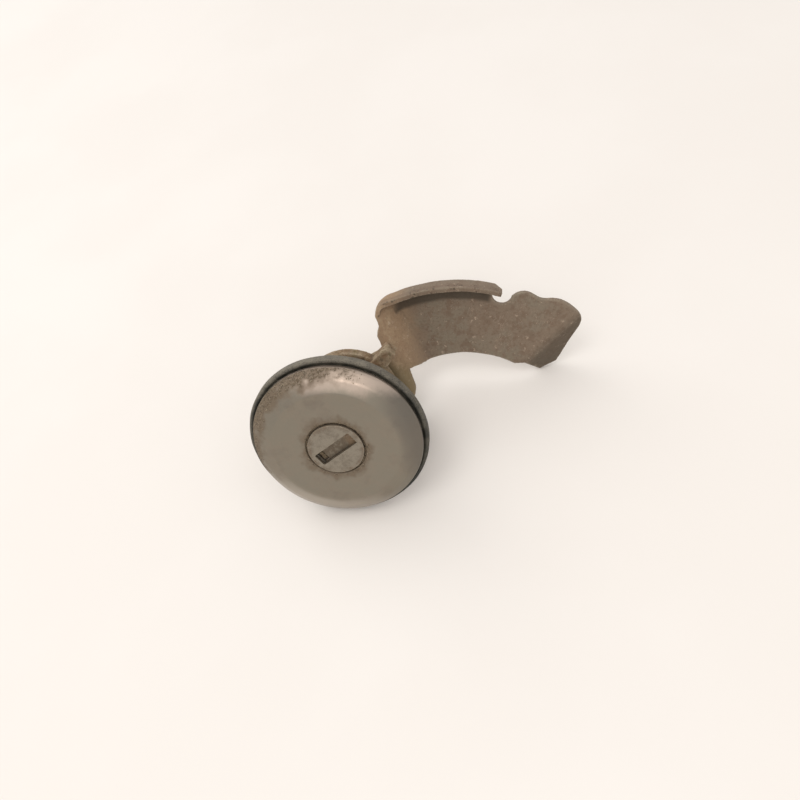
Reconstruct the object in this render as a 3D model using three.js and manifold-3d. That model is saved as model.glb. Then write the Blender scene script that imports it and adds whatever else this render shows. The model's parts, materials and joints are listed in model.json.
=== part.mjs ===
// Keyed lid lock: a round capped lock cylinder with a rubber gasket, a slotted plug behind a
// dust shutter, wafers, a die-cast housing and a long folded lever arm on the plug's tail.
//
// Lock frame, millimetres: the lock's axis is Z, +Z points out of the cap's face, and Z = 0 is
// the plane of the cap's rim. The finished group lies on a bench with +Z up.

import * as THREE from "three";
import { mergeVertices } from "three/addons/utils/BufferGeometryUtils.js";
import Module from "manifold-3d";

const wasm = await Module();
wasm.setup();

// ---- Driving dimensions -------------------------------------------------------------------

const GAP = 0.3; // clearance between neighbouring pieces
const ROUND = 48; // sides of the large turned pieces
const SMALL_ROUND = 24; // sides of the small turned pieces

// Face cap: a pressed dome with a flat middle, a conical border and a short skirt.
const CAP_R = 21;
const CAP_SHEET = 0.7;
const CAP_RIDGE_R = 15.7;
const CAP_RIDGE_Z = 3.1;
const CAP_FACE_Z = 2.9;
const CAP_OPENING_R = 7.4;
const CAP_SHOULDER_Z = 0.35;
const CAP_SKIRT_Z = -1.1;

// Gasket behind the cap.
const GASKET_R = 22.3;
const GASKET_HOLE_R = 13.3;
const GASKET_FRONT_Z = -1.4;
const GASKET_BACK_Z = -3.8;
const GASKET_EDGE = 0.7;

// Die-cast housing.
const FLANGE_R = 19.9;
const COLLAR_R = 12.9;
const COLLAR_BACK_Z = -4.8;
const BARREL_R = 11.2;
const RING_R = 12.7;
const RING_FRONT_Z = -21.8;
const HOUSING_BACK_Z = -25;
const RELIEF_R = 8.5; // inside the housing, where the wafers swing round
const RELIEF_FRONT_Z = -4.3;
const RELIEF_BACK_Z = -18.9;
const KEY_RIB_WIDTH = 3;
const KEY_RIB_BACK_Z = -13;
const FINGER_AZIMUTH = 61; // degrees from +X
const FINGER_TIP_R = 18.2;
const FINGER_WIDTH = 3.7;
const FINGER_FRONT_Z = -20.4;
const FINGER_BACK_Z = -24.7;

// Plug, turned with the key. Its slot lies along Y of the plug's own frame.
const PLUG_AZIMUTH = 49.6; // degrees from +X to the key slot's length
const PLUG_R = 6.8;
const PLUG_HEAD_R = 8.2;
const PLUG_HEAD_TOP_Z = 1.5;
const PLUG_HEAD_BACK_Z = -0.2;
const PLUG_BOSS_R = 6.6;
const PLUG_BOSS_Z = 2.1;
const COVER_R = 6.95;
const COVER_SHEET = 0.8;
const SLOT_LENGTH = 11;
const SLOT_WIDTH = 3.3;
const KEYWAY_LENGTH = 9;
const KEYWAY_WIDTH = 3;
const KEYWAY_BACK_Z = -19.5;
const TAIL_SIDE = 6.4; // square tail that drives the lever
const TAIL_BACK_Z = -31.4;
const SEAL_Z = -21.8;
const SEAL_GROOVE_R = 5.4;
const SEAL_WIRE_R = 0.42;
const STOP_HALF_ANGLE = 8;
const PLUG_TURN = 90; // degrees between the plug's stops

// Dust shutter inside the slot.
const SHUTTER_TOP_Z = 2;
const SHUTTER_SHEET = 0.5;
const SHUTTER_LOW_Y = -3.7;
const SHUTTER_HIGH_Y = 4.9;
const SHUTTER_PIN_X = 1.95;
const SHUTTER_PIN_Z = 1.1;
const SHUTTER_PIN_R = 0.35;
const SHUTTER_PIN_HALF = 6;
const SHUTTER_KNUCKLE_R = 0.8;
const SHUTTER_POCKET_HALF = 5.3;
const SHUTTER_POCKET_Z = -2.2;

// Wafers and their springs.
const WAFER_COUNT = 6;
const WAFER_FIRST_Z = -5.9;
const WAFER_PITCH = 2.3;
const WAFER_THICKNESS = 0.9;
const WAFER_WIDTH = 6.8;
const WAFER_REACH = 0.9; // how far a wafer stands out of the plug with no key in it
const WAFER_ARM_X = 5.1;
const WAFER_ARM_LOW_Y = 1.2;
const WAFER_ARM_HIGH_Y = 2.2;
const WAFER_CODE = [0.3, -0.2, 0.5, 0, 0.4, -0.3]; // window offsets, one for each key cut
const WAFER_SLOT = 1.4;
const SPRING_X = 4.45;
const SPRING_R = 0.55;
const SPRING_LOW_Y = -2.5;
const SPRING_WIRE_R = 0.14;
const POCKET_X = 5.5;
const POCKET_LOW_Y = -2.95;
const POCKET_HIGH_Y = 2.6;
const POCKET_THICKNESS = 1.9;

// Lever arm: one sheet, folded. Depths count backward from the rim plane to its front skin.
const SHEET = 1.3;
const HUB_DEPTH = 26.7;
const BLADE_DEPTH = 36;
const HUB_R = 10.6;
const JOGGLE_AZIMUTH = 40; // degrees from +X to the way the joggle climbs
const JOGGLE_START = 12.2; // distance of the first fold from the lock's axis
const JOGGLE_ANGLE = 55;
const FOLD_R = 1.2; // inside radius of the folds
const TIP_FOLD_FROM = [46.6, 11.4];
const TIP_FOLD_TO = [55.3, 25.6];
const TIP_ANGLE = 25;
const FLANGE_HEIGHT = 4.3; // in front of the blade's front skin
const EDGE_CENTRE = [30.65, -9.66]; // the long convex edge is an arc
const EDGE_R = 42.1;
const LEVER_CORNER = [5.3, 21.4];
const LEVER_CORNER_R = 2.5;
const FLANGE_END_X = 34.7;
const FLANGE_FADE_FROM = [23.6, 31.7]; // y and depth where the flange's top starts to fall away
const FLANGE_FADE_TO = [20.3, 29.8]; // and where it meets the joggle
const NOTCH_CENTRE = [35.2, 29.9];
const NOTCH_R = 2.6;
const HOLLOW_CENTRE = [34.6, -15.3]; // the long concave edge is an arc
const HOLLOW_R = 27;

// Pieces on the tail.
const THRUST_FRONT_Z = -25.4;
const THRUST_BACK_Z = -26.3;
const THRUST_R = 9.5;
const TAIL_WASHER_FRONT_Z = -28.4;
const TAIL_WASHER_BACK_Z = -29.1;
const TAIL_WASHER_R = 6.8;
const CLIP_FRONT_Z = -29.4;
const CLIP_BACK_Z = -30.2;
const CLIP_R = 5.6;
const CLIP_NECK_R = 2.7;

// How the lock lies: on the gasket's edge, the housing's ring and the lever's tip.
const GASKET_FOOT_Z = GASKET_BACK_Z + 1.1;
const RING_FOOT_Z = HOUSING_BACK_Z + 0.4;
const LYING_TILT = Math.atan((GASKET_R - RING_R) / (GASKET_FOOT_Z - RING_FOOT_Z));
const LYING_ROLL = -16.9; // degrees about the lock's axis, until the lever's tip is down

// ---- Finishes -----------------------------------------------------------------------------

const finish = (color, roughness, metalness) => () =>
  new THREE.MeshStandardMaterial({ color, roughness, metalness });

const satinSteel = finish(0x9a9184, 0.38, 1);
const blackRubber = finish(0x2b2c28, 0.8, 0);
const corrodedZinc = finish(0x6f6450, 0.8, 0.5);
const plugZinc = finish(0x7f7768, 0.6, 0.7);
const dullBrass = finish(0xa08547, 0.45, 0.9);
const springSteel = finish(0x85827c, 0.35, 1);
const rustySteel = finish(0x786958, 0.75, 0.5);

// ---- Geometry helpers ---------------------------------------------------------------------

const radians = THREE.MathUtils.degToRad;

const polar = (radius, degrees) =>
  new THREE.Vector2(Math.cos(radians(degrees)), Math.sin(radians(degrees))).multiplyScalar(radius);

/** Turns a closed geometry into a solid, with shared corners and no empty triangles. */
function solid(geometry) {
  const bare = geometry.index ? geometry : geometry.clone();
  bare.deleteAttribute("normal");
  bare.deleteAttribute("uv");
  const merged = mergeVertices(bare, 1e-4);
  const corners = merged.index.array;
  const kept = [];
  for (let i = 0; i < corners.length; i += 3) {
    const [a, b, c] = corners.slice(i, i + 3);
    if (a !== b && b !== c && c !== a) kept.push(a, b, c);
  }
  return new wasm.Manifold(
    new wasm.Mesh({
      numProp: 3,
      vertProperties: new Float32Array(merged.attributes.position.array),
      triVerts: new Uint32Array(kept),
    }),
  );
}

/** Turns a solid back into a geometry. */
function geometryOf(manifold) {
  const mesh = manifold.getMesh();
  const geometry = new THREE.BufferGeometry();
  geometry.setAttribute("position", new THREE.BufferAttribute(mesh.vertProperties, 3));
  geometry.setIndex(new THREE.BufferAttribute(mesh.triVerts, 1));
  geometry.computeVertexNormals();
  return geometry;
}

/** A turned piece about Z from a closed outline of [radius, z] corners, listed anticlockwise. */
function turned(outline, sides = ROUND) {
  const points = [...outline, outline[0]].map(([r, z]) => new THREE.Vector2(r, z));
  return new THREE.LatheGeometry(points, sides).rotateX(Math.PI / 2);
}

/** A flat piece from a shape, between two heights. */
function plate(shape, lowZ, highZ, curveSegments = 12) {
  const geometry = new THREE.ExtrudeGeometry(shape, {
    depth: highZ - lowZ,
    bevelEnabled: false,
    curveSegments,
  });
  return geometry.translate(0, 0, lowZ);
}

/** A block between two corners. */
function block(low, high) {
  const [x, y, z] = low.map((value, i) => high[i] - value);
  const geometry = new THREE.BoxGeometry(x, y, z);
  return geometry.translate(low[0] + x / 2, low[1] + y / 2, low[2] + z / 2);
}

/** A round bar about Z between two heights. */
function bar(radius, lowZ, highZ, sides = ROUND) {
  const geometry = new THREE.CylinderGeometry(radius, radius, highZ - lowZ, sides);
  return geometry.rotateX(Math.PI / 2).translate(0, 0, (lowZ + highZ) / 2);
}

/** A round bar along Y between two ends. */
function crossBar(radius, x, z, lowY, highY, sides = 14) {
  const geometry = new THREE.CylinderGeometry(radius, radius, highY - lowY, sides);
  return geometry.translate(x, (lowY + highY) / 2, z);
}

/** A coil of round wire along Y, from one end to the other. */
class Coil extends THREE.Curve {
  constructor(radius, lowY, highY, turns) {
    super();
    Object.assign(this, { radius, lowY, highY, turns });
  }

  getPoint(t, target = new THREE.Vector3()) {
    const angle = 2 * Math.PI * this.turns * t;
    const y = THREE.MathUtils.lerp(this.lowY, this.highY, t);
    return target.set(this.radius * Math.cos(angle), y, this.radius * Math.sin(angle));
  }
}

/** A wire swept along a coil, with few sides because it is thin. */
function coilSpring(coil, wireR, sides = 5, stepsPerTurn = 8) {
  const corners = Array.from({ length: sides }, (_, i) => polar(wireR, (360 * i) / sides));
  return new THREE.ExtrudeGeometry(new THREE.Shape(corners), {
    extrudePath: coil,
    steps: Math.round(coil.turns * stepsPerTurn),
  });
}

function named(name, geometry, material) {
  const mesh = new THREE.Mesh(geometry, material());
  mesh.name = name;
  return mesh;
}

// ---- Cap, gasket and housing --------------------------------------------------------------

function faceCap() {
  const slope = (CAP_RIDGE_Z - CAP_SHOULDER_Z) / (CAP_R - 0.4 - CAP_RIDGE_R);
  const innerR = CAP_R - CAP_SHEET;
  const outline = [
    [CAP_OPENING_R, CAP_FACE_Z - CAP_SHEET - 0.3],
    [CAP_OPENING_R + 0.4, CAP_FACE_Z - CAP_SHEET],
    [CAP_RIDGE_R - 0.7, CAP_RIDGE_Z - CAP_SHEET],
    [CAP_RIDGE_R - 0.2, CAP_RIDGE_Z - CAP_SHEET - 0.1],
    [innerR, CAP_RIDGE_Z - CAP_SHEET - 0.1 - slope * (innerR - CAP_RIDGE_R + 0.2)],
    [innerR, CAP_SKIRT_Z],
    [CAP_R, CAP_SKIRT_Z],
    [CAP_R, CAP_SHOULDER_Z - 0.5],
    [CAP_R - 0.1, CAP_SHOULDER_Z - 0.2],
    [CAP_R - 0.4, CAP_SHOULDER_Z],
    [CAP_RIDGE_R + 0.5, CAP_RIDGE_Z - 0.25],
    [CAP_RIDGE_R, CAP_RIDGE_Z - 0.04],
    [CAP_RIDGE_R - 0.5, CAP_RIDGE_Z],
    [CAP_RIDGE_R - 3, CAP_RIDGE_Z - 0.07],
    [CAP_OPENING_R + 0.5, CAP_FACE_Z],
    [CAP_OPENING_R, CAP_FACE_Z - 0.3],
  ];
  return named("face_cap", turned(outline), satinSteel);
}

function gasket() {
  const outline = [
    [GASKET_HOLE_R, GASKET_BACK_Z],
    [GASKET_R - GASKET_EDGE, GASKET_BACK_Z],
    [GASKET_R - 0.2, GASKET_BACK_Z + 0.4],
    [GASKET_R, GASKET_FOOT_Z],
    [GASKET_R - 0.1, GASKET_FRONT_Z - GASKET_EDGE],
    [GASKET_R - GASKET_EDGE, GASKET_FRONT_Z],
    [GASKET_HOLE_R, GASKET_FRONT_Z],
  ];
  return named("gasket", turned(outline), blackRubber);
}

function housing() {
  const boreR = PLUG_R + GAP;
  const counterR = PLUG_HEAD_R + 0.4;
  const counterZ = PLUG_HEAD_BACK_Z - 0.4;
  const flangeBackZ = CAP_SKIRT_Z;
  const outline = [
    [boreR, HOUSING_BACK_Z],
    [RING_R - 0.4, HOUSING_BACK_Z],
    [RING_R, RING_FOOT_Z],
    [RING_R, RING_FRONT_Z],
    [BARREL_R, RING_FRONT_Z],
    [BARREL_R, COLLAR_BACK_Z - 0.5],
    [COLLAR_R, COLLAR_BACK_Z],
    [COLLAR_R, flangeBackZ],
    [FLANGE_R, flangeBackZ],
    [FLANGE_R, flangeBackZ + 0.6],
    [CAP_RIDGE_R - 0.5, PLUG_HEAD_TOP_Z + 0.2],
    [counterR, PLUG_HEAD_TOP_Z + 0.2],
    [counterR, counterZ],
    [boreR, counterZ],
    [boreR, RELIEF_FRONT_Z],
    [RELIEF_R, RELIEF_FRONT_Z],
    [RELIEF_R, RELIEF_BACK_Z],
    [boreR, RELIEF_BACK_Z],
  ];
  const halfRib = KEY_RIB_WIDTH / 2;
  const rib = block(
    [BARREL_R - 1, -halfRib, KEY_RIB_BACK_Z],
    [COLLAR_R - 0.2, halfRib, COLLAR_BACK_Z + 0.5],
  );
  const halfFinger = FINGER_WIDTH / 2;
  const finger = new THREE.Shape()
    .moveTo(BARREL_R - 1, -halfFinger)
    .lineTo(FINGER_TIP_R - 1, -halfFinger)
    .lineTo(FINGER_TIP_R, 0.4 - halfFinger)
    .lineTo(FINGER_TIP_R, halfFinger - 0.6)
    .lineTo(FINGER_TIP_R - 0.6, halfFinger)
    .lineTo(BARREL_R - 1, halfFinger + 0.3)
    .closePath();
  const stop = new THREE.Shape()
    .moveTo(PLUG_R + GAP, -1)
    .lineTo(counterR + 0.5, -1)
    .lineTo(counterR + 0.5, 1)
    .lineTo(PLUG_R + GAP, 1)
    .closePath();
  const turn = (geometry, degrees) => geometry.rotateZ(radians(degrees));
  const cast = solid(turned(outline))
    .add(solid(turn(rib.clone(), PLUG_AZIMUTH)))
    .add(solid(turn(rib.clone(), PLUG_AZIMUTH + 180)))
    .add(solid(turn(plate(finger, FINGER_BACK_Z, FINGER_FRONT_Z), FINGER_AZIMUTH)))
    .add(solid(turn(plate(stop, counterZ - 0.5, PLUG_HEAD_TOP_Z), PLUG_AZIMUTH)));
  return named("housing", geometryOf(cast), corrodedZinc);
}

// ---- Plug, cover and shutter, in the plug's own frame ---------------------------------------

const waferZ = (index) => WAFER_FIRST_Z - index * WAFER_PITCH;
const waferSense = (index) => (index % 2 === 0 ? 1 : -1);

function slotShape(length, width) {
  return new THREE.Shape()
    .moveTo(-width / 2, -length / 2)
    .lineTo(width / 2, -length / 2)
    .lineTo(width / 2, length / 2)
    .lineTo(-width / 2, length / 2)
    .closePath();
}

/** The space that one wafer, its side arm and its spring need in the plug. */
function waferSpace(index) {
  const z = waferZ(index);
  const sense = waferSense(index);
  const half = WAFER_WIDTH / 2 + GAP;
  const slot = block(
    [-half, -PLUG_R - 1, z - WAFER_SLOT / 2],
    [half, PLUG_R + 1, z + WAFER_SLOT / 2],
  );
  const pocket = block(
    [half - 0.5, POCKET_LOW_Y, z - POCKET_THICKNESS / 2],
    [POCKET_X, POCKET_HIGH_Y, z + POCKET_THICKNESS / 2],
  );
  if (sense < 0) pocket.rotateZ(Math.PI);
  return solid(slot).add(solid(pocket));
}

function plug() {
  const outline = [
    [0, HOUSING_BACK_Z],
    [PLUG_R, HOUSING_BACK_Z],
    [PLUG_R, SEAL_Z - SEAL_WIRE_R - GAP],
    [SEAL_GROOVE_R, SEAL_Z - SEAL_WIRE_R - GAP],
    [SEAL_GROOVE_R, SEAL_Z + SEAL_WIRE_R + GAP],
    [PLUG_R, SEAL_Z + SEAL_WIRE_R + GAP],
    [PLUG_R, PLUG_HEAD_BACK_Z],
    [PLUG_HEAD_R, PLUG_HEAD_BACK_Z],
    [PLUG_HEAD_R, PLUG_HEAD_TOP_Z],
    [PLUG_BOSS_R, PLUG_HEAD_TOP_Z],
    [PLUG_BOSS_R, PLUG_BOSS_Z],
    [0, PLUG_BOSS_Z],
  ];
  const halfTail = TAIL_SIDE / 2;
  const clipGroove = solid(block([-9, -9, CLIP_BACK_Z - 0.2], [9, 9, CLIP_FRONT_Z + 0.2]))
    .subtract(solid(bar(CLIP_NECK_R, CLIP_BACK_Z - 1, CLIP_FRONT_Z + 1, SMALL_ROUND)));
  const pocketHalf = SHUTTER_POCKET_HALF;
  let body = solid(turned(outline))
    .add(solid(block([-halfTail, -halfTail, TAIL_BACK_Z], [halfTail, halfTail, HOUSING_BACK_Z + 2])))
    .subtract(clipGroove)
    .subtract(
      solid(plate(slotShape(KEYWAY_LENGTH, KEYWAY_WIDTH), KEYWAY_BACK_Z, PLUG_BOSS_Z + 1)),
    )
    .subtract(
      solid(
        block([-SLOT_WIDTH / 2 - 0.1, -pocketHalf, SHUTTER_POCKET_Z], [3, pocketHalf, PLUG_BOSS_Z + 1]),
      ),
    )
    .subtract(
      solid(
        crossBar(
          SHUTTER_PIN_R + 0.08,
          SHUTTER_PIN_X,
          SHUTTER_PIN_Z,
          -SHUTTER_PIN_HALF - GAP,
          SHUTTER_PIN_HALF + GAP,
        ),
      ),
    )
    .subtract(stopTravel());
  for (let i = 0; i < WAFER_COUNT; i += 1) body = body.subtract(waferSpace(i));
  return named("plug", geometryOf(body), plugZinc);
}

/** The arc cut from the plug's head in which the housing's stop stands. */
function stopTravel() {
  const rest = 90 + STOP_HALF_ANGLE;
  const far = 90 - STOP_HALF_ANGLE - PLUG_TURN;
  const arc = new THREE.Shape();
  arc.absarc(0, 0, PLUG_HEAD_R + 1, radians(far), radians(rest));
  arc.absarc(0, 0, PLUG_R, radians(rest), radians(far), true);
  arc.closePath();
  return solid(plate(arc, PLUG_HEAD_BACK_Z - 0.01, PLUG_HEAD_TOP_Z + 0.01, 10));
}

function plugCover() {
  const disc = new THREE.Shape();
  disc.absarc(0, 0, COVER_R, 0, 2 * Math.PI);
  disc.holes.push(slotShape(SLOT_LENGTH, SLOT_WIDTH));
  const lowZ = PLUG_BOSS_Z + GAP;
  return named("plug_cover", plate(disc, lowZ, lowZ + COVER_SHEET, 20), satinSteel);
}

function shutter() {
  const farX = -SLOT_WIDTH / 2 + 0.15;
  const flap = block(
    [farX, SHUTTER_LOW_Y, SHUTTER_TOP_Z - SHUTTER_SHEET],
    [SHUTTER_PIN_X, SHUTTER_HIGH_Y, SHUTTER_TOP_Z],
  );
  const knuckle = (radius, more) =>
    solid(
      crossBar(radius, SHUTTER_PIN_X, SHUTTER_PIN_Z, SHUTTER_LOW_Y - more, SHUTTER_HIGH_Y + more),
    );
  const body = solid(flap)
    .add(knuckle(SHUTTER_KNUCKLE_R, 0))
    .subtract(knuckle(SHUTTER_PIN_R + 0.1, 1));
  return named("shutter", geometryOf(body), rustySteel);
}

function shutterPin() {
  const pin = crossBar(
    SHUTTER_PIN_R,
    SHUTTER_PIN_X,
    SHUTTER_PIN_Z,
    -SHUTTER_PIN_HALF,
    SHUTTER_PIN_HALF,
  );
  return named("shutter_pin", pin, springSteel);
}

function shutterSpring() {
  const coil = new Coil(SHUTTER_PIN_R + 0.3, -5.05, SHUTTER_LOW_Y - GAP, 2.5);
  const spring = named("shutter_spring", coilSpring(coil, 0.12), springSteel);
  spring.position.set(SHUTTER_PIN_X, 0, SHUTTER_PIN_Z);
  return spring;
}

// ---- Wafers and their springs ---------------------------------------------------------------

function wafer(index) {
  const half = WAFER_WIDTH / 2;
  const sideY = Math.sqrt(PLUG_R ** 2 - half ** 2);
  const top = THREE.MathUtils.radToDeg(Math.atan2(sideY, half));
  const low = WAFER_REACH - 0.5;
  const outline = new THREE.Shape()
    .moveTo(half, low - sideY)
    .lineTo(half, WAFER_ARM_LOW_Y)
    .lineTo(WAFER_ARM_X, WAFER_ARM_LOW_Y)
    .lineTo(WAFER_ARM_X, WAFER_ARM_HIGH_Y)
    .lineTo(half, WAFER_ARM_HIGH_Y)
    .lineTo(half, WAFER_REACH + sideY)
    .absarc(0, WAFER_REACH, PLUG_R, radians(top), radians(180 - top))
    .lineTo(-half, low - sideY)
    .absarc(0, low, PLUG_R, radians(180 + top), radians(360 - top))
    .closePath();
  const window = slotShape(KEYWAY_LENGTH - 0.4, KEYWAY_WIDTH + 0.4);
  const shift = WAFER_CODE[index];
  outline.holes.push(new THREE.Path(window.getPoints().map((p) => p.setY(p.y + shift))));
  const geometry = plate(outline, -WAFER_THICKNESS / 2, WAFER_THICKNESS / 2, 5);
  const mesh = named(`wafer_${index + 1}`, geometry, dullBrass);
  mesh.position.z = waferZ(index);
  mesh.rotation.z = waferSense(index) < 0 ? Math.PI : 0;
  return mesh;
}

function waferSpring(index) {
  const coil = new Coil(SPRING_R, SPRING_LOW_Y, WAFER_ARM_LOW_Y - GAP, 3.5);
  const spring = named(`wafer_spring_${index + 1}`, coilSpring(coil, SPRING_WIRE_R), springSteel);
  spring.position.set(waferSense(index) * SPRING_X, 0, waferZ(index));
  spring.rotation.z = waferSense(index) < 0 ? Math.PI : 0;
  return spring;
}

function plugSeal() {
  const ring = new THREE.TorusGeometry(PLUG_R - 0.55, SEAL_WIRE_R, 6, SMALL_ROUND);
  const seal = named("plug_seal", ring, blackRubber);
  seal.position.z = SEAL_Z;
  return seal;
}

// ---- Lever arm ------------------------------------------------------------------------------

/** Where the long convex edge is at a given x, and its angle about the arc's centre. */
function edgeAngle(x) {
  return Math.acos((x - EDGE_CENTRE[0]) / EDGE_R);
}

/** Outline of the unfolded lever as seen along the lock's axis. */
function leverOutline() {
  const [cornerX, cornerY] = LEVER_CORNER;
  const hollowAngle = (x) => Math.acos((x - HOLLOW_CENTRE[0]) / HOLLOW_R);
  const hubFrom = polar(HUB_R, 72);
  const outline = new THREE.Shape();
  outline.moveTo(hubFrom.x, hubFrom.y);
  outline.absarc(0, 0, HUB_R, radians(72), radians(-25));
  outline.lineTo(15.2, -2.1);
  outline.quadraticCurveTo(17.4, -1.4, 17.2, 0.8);
  outline.quadraticCurveTo(17.2, 1.5, 16.8, 2.2);
  outline.lineTo(14.1, 6.7);
  outline.quadraticCurveTo(18.6, 6.7, 20.6, 7.79);
  outline.absarc(...HOLLOW_CENTRE, HOLLOW_R, hollowAngle(20.6), hollowAngle(43), true);
  outline.lineTo(46, 11.1);
  outline.lineTo(50.7, 9);
  outline.lineTo(54.7, 11.9);
  outline.lineTo(57.6, 24.1);
  outline.quadraticCurveTo(58.4, 27.8, 54.9, 29.6);
  outline.bezierCurveTo(51.2, 31.7, 49.2, 31.3, 47, 30.8);
  outline.bezierCurveTo(44.8, 30.3, 43.8, 31.7, 41.5, 31.8);
  outline.quadraticCurveTo(39.2, 31.8, NOTCH_CENTRE[0] + NOTCH_R, NOTCH_CENTRE[1]);
  outline.absarc(...NOTCH_CENTRE, NOTCH_R, 0, radians(-180), true);
  outline.lineTo(NOTCH_CENTRE[0] - NOTCH_R, EDGE_CENTRE[1] + EDGE_R - 0.05);
  outline.absarc(
    ...EDGE_CENTRE,
    EDGE_R,
    edgeAngle(NOTCH_CENTRE[0] - NOTCH_R),
    edgeAngle(cornerX + 1.5),
  );
  outline.absarc(cornerX, cornerY, LEVER_CORNER_R, radians(125), radians(205));
  outline.lineTo(4.4, 18.1);
  outline.quadraticCurveTo(3.9, 16.2, 5.2, 14.8);
  outline.lineTo(6.2, 12.8);
  outline.closePath();
  return outline;
}

/** The band in plan that stands up as the edge flange. */
function flangeBand() {
  const [cornerX, cornerY] = LEVER_CORNER;
  const innerR = EDGE_R - SHEET;
  const endAngle = edgeAngle(FLANGE_END_X);
  const startAngle = edgeAngle(cornerX + 1.5);
  const band = new THREE.Shape();
  band.absarc(...EDGE_CENTRE, EDGE_R, endAngle, startAngle);
  band.absarc(cornerX, cornerY, LEVER_CORNER_R, radians(125), radians(205));
  band.absarc(cornerX, cornerY, LEVER_CORNER_R - SHEET, radians(205), radians(125), true);
  band.absarc(...EDGE_CENTRE, innerR, startAngle, endAngle, true);
  band.closePath();
  return band;
}

/** Places a solid whose X runs outward along an azimuth, whose Y runs backward. */
function acrossFold(geometry, azimuth, x = 0, y = 0) {
  const out = polar(1, azimuth);
  const basis = new THREE.Matrix4().makeBasis(
    new THREE.Vector3(out.x, out.y, 0),
    new THREE.Vector3(0, 0, -1),
    new THREE.Vector3(-out.y, out.x, 0),
  );
  return geometry.applyMatrix4(basis).translate(x, y, 0);
}

const LONG = 90; // longer than the lever, for the slabs that it is cut from

/** Side view of the joggled sheet: hub level, slope, blade level. Raised skins add a flange. */
function joggleSection(raise) {
  const angle = radians(JOGGLE_ANGLE);
  const outerR = FOLD_R + SHEET;
  const drop = 1 - Math.cos(angle);
  const rise = BLADE_DEPTH - HUB_DEPTH - (FOLD_R + outerR) * drop;
  const endX = JOGGLE_START + (outerR + FOLD_R) * Math.sin(angle) + rise / Math.tan(angle);
  const section = new THREE.Shape();
  section.moveTo(-LONG, HUB_DEPTH - raise);
  section.absarc(JOGGLE_START, HUB_DEPTH + outerR - raise, outerR, -Math.PI / 2, angle - Math.PI / 2);
  section.absarc(endX, BLADE_DEPTH - FOLD_R - raise, FOLD_R, angle + Math.PI / 2, Math.PI / 2, true);
  section.lineTo(LONG, BLADE_DEPTH - raise);
  section.lineTo(LONG, BLADE_DEPTH + SHEET);
  section.absarc(endX, BLADE_DEPTH - FOLD_R, outerR, Math.PI / 2, angle + Math.PI / 2);
  section.absarc(JOGGLE_START, HUB_DEPTH + outerR, FOLD_R, angle - Math.PI / 2, -Math.PI / 2, true);
  section.lineTo(-LONG, HUB_DEPTH + SHEET);
  section.closePath();
  return section;
}

/** A slab of the joggled sheet, wide enough for the whole lever. */
function joggleSlab(raise) {
  return solid(acrossFold(plate(joggleSection(raise), -LONG, LONG, 3), JOGGLE_AZIMUTH));
}

/** The lever's tip beyond its last fold: a slab folded backward, and the room it replaces. */
function tipFold() {
  const [fromX, fromY] = TIP_FOLD_FROM;
  const along = Math.atan2(TIP_FOLD_TO[1] - fromY, TIP_FOLD_TO[0] - fromX);
  const azimuth = THREE.MathUtils.radToDeg(along) - 90;
  const slope = Math.tan(radians(TIP_ANGLE));
  const shift = SHEET * Math.tan(radians(TIP_ANGLE / 2));
  const reach = 30;
  const section = new THREE.Shape()
    .moveTo(-0.5, BLADE_DEPTH)
    .lineTo(0, BLADE_DEPTH)
    .lineTo(reach, BLADE_DEPTH + slope * reach)
    .lineTo(reach - shift, BLADE_DEPTH + SHEET + slope * reach)
    .lineTo(-shift, BLADE_DEPTH + SHEET)
    .lineTo(-0.5, BLADE_DEPTH + SHEET)
    .closePath();
  const slab = acrossFold(plate(section, -LONG, LONG), azimuth, fromX, fromY);
  const room = acrossFold(block([-shift, 0, -LONG], [LONG, 60, LONG]), azimuth, fromX, fromY);
  return { slab: solid(slab), room: solid(room) };
}

function leverArm() {
  const outline = solid(plate(leverOutline(), -50, -20, 7));
  const tip = tipFold();
  const blade = outline.intersect(joggleSlab(0)).subtract(tip.room);
  const flange = solid(plate(flangeBand(), -50, -20, 9)).intersect(joggleSlab(FLANGE_HEIGHT));
  const half = TAIL_SIDE / 2 + GAP;
  const square = block([-half, -half, -35], [half, half, -20]).rotateZ(radians(PLUG_AZIMUTH));
  const endCorner = new THREE.Shape()
    .moveTo(FLANGE_END_X - 2, BLADE_DEPTH + SHEET + 0.1)
    .lineTo(FLANGE_END_X + 1, BLADE_DEPTH + SHEET + 0.1)
    .lineTo(FLANGE_END_X + 1, BLADE_DEPTH - 2.6)
    .closePath();
  const bevel = acrossFold(plate(endCorner, 0, LONG), 0);
  const belowTop = new THREE.Shape()
    .moveTo(...FLANGE_FADE_TO)
    .lineTo(...FLANGE_FADE_FROM)
    .lineTo(LONG, FLANGE_FADE_FROM[1])
    .lineTo(LONG, LONG)
    .lineTo(FLANGE_FADE_TO[0] - 2, LONG)
    .lineTo(FLANGE_FADE_TO[0] - 2, FLANGE_FADE_TO[1])
    .closePath();
  const flangeRoom = solid(acrossFold(plate(belowTop, -LONG, LONG), 90));
  const sheet = blade
    .add(outline.intersect(tip.slab))
    .add(flange.intersect(flangeRoom).subtract(solid(bevel)))
    .subtract(solid(square));
  return named("lever_arm", geometryOf(sheet), rustySteel);
}

// ---- Pieces on the tail -----------------------------------------------------------------------

function washer(name, outerR, holeR, backZ, frontZ, sides) {
  const outline = [
    [holeR, backZ],
    [outerR, backZ],
    [outerR, frontZ],
    [holeR, frontZ],
  ];
  return named(name, turned(outline, sides), springSteel);
}

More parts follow.
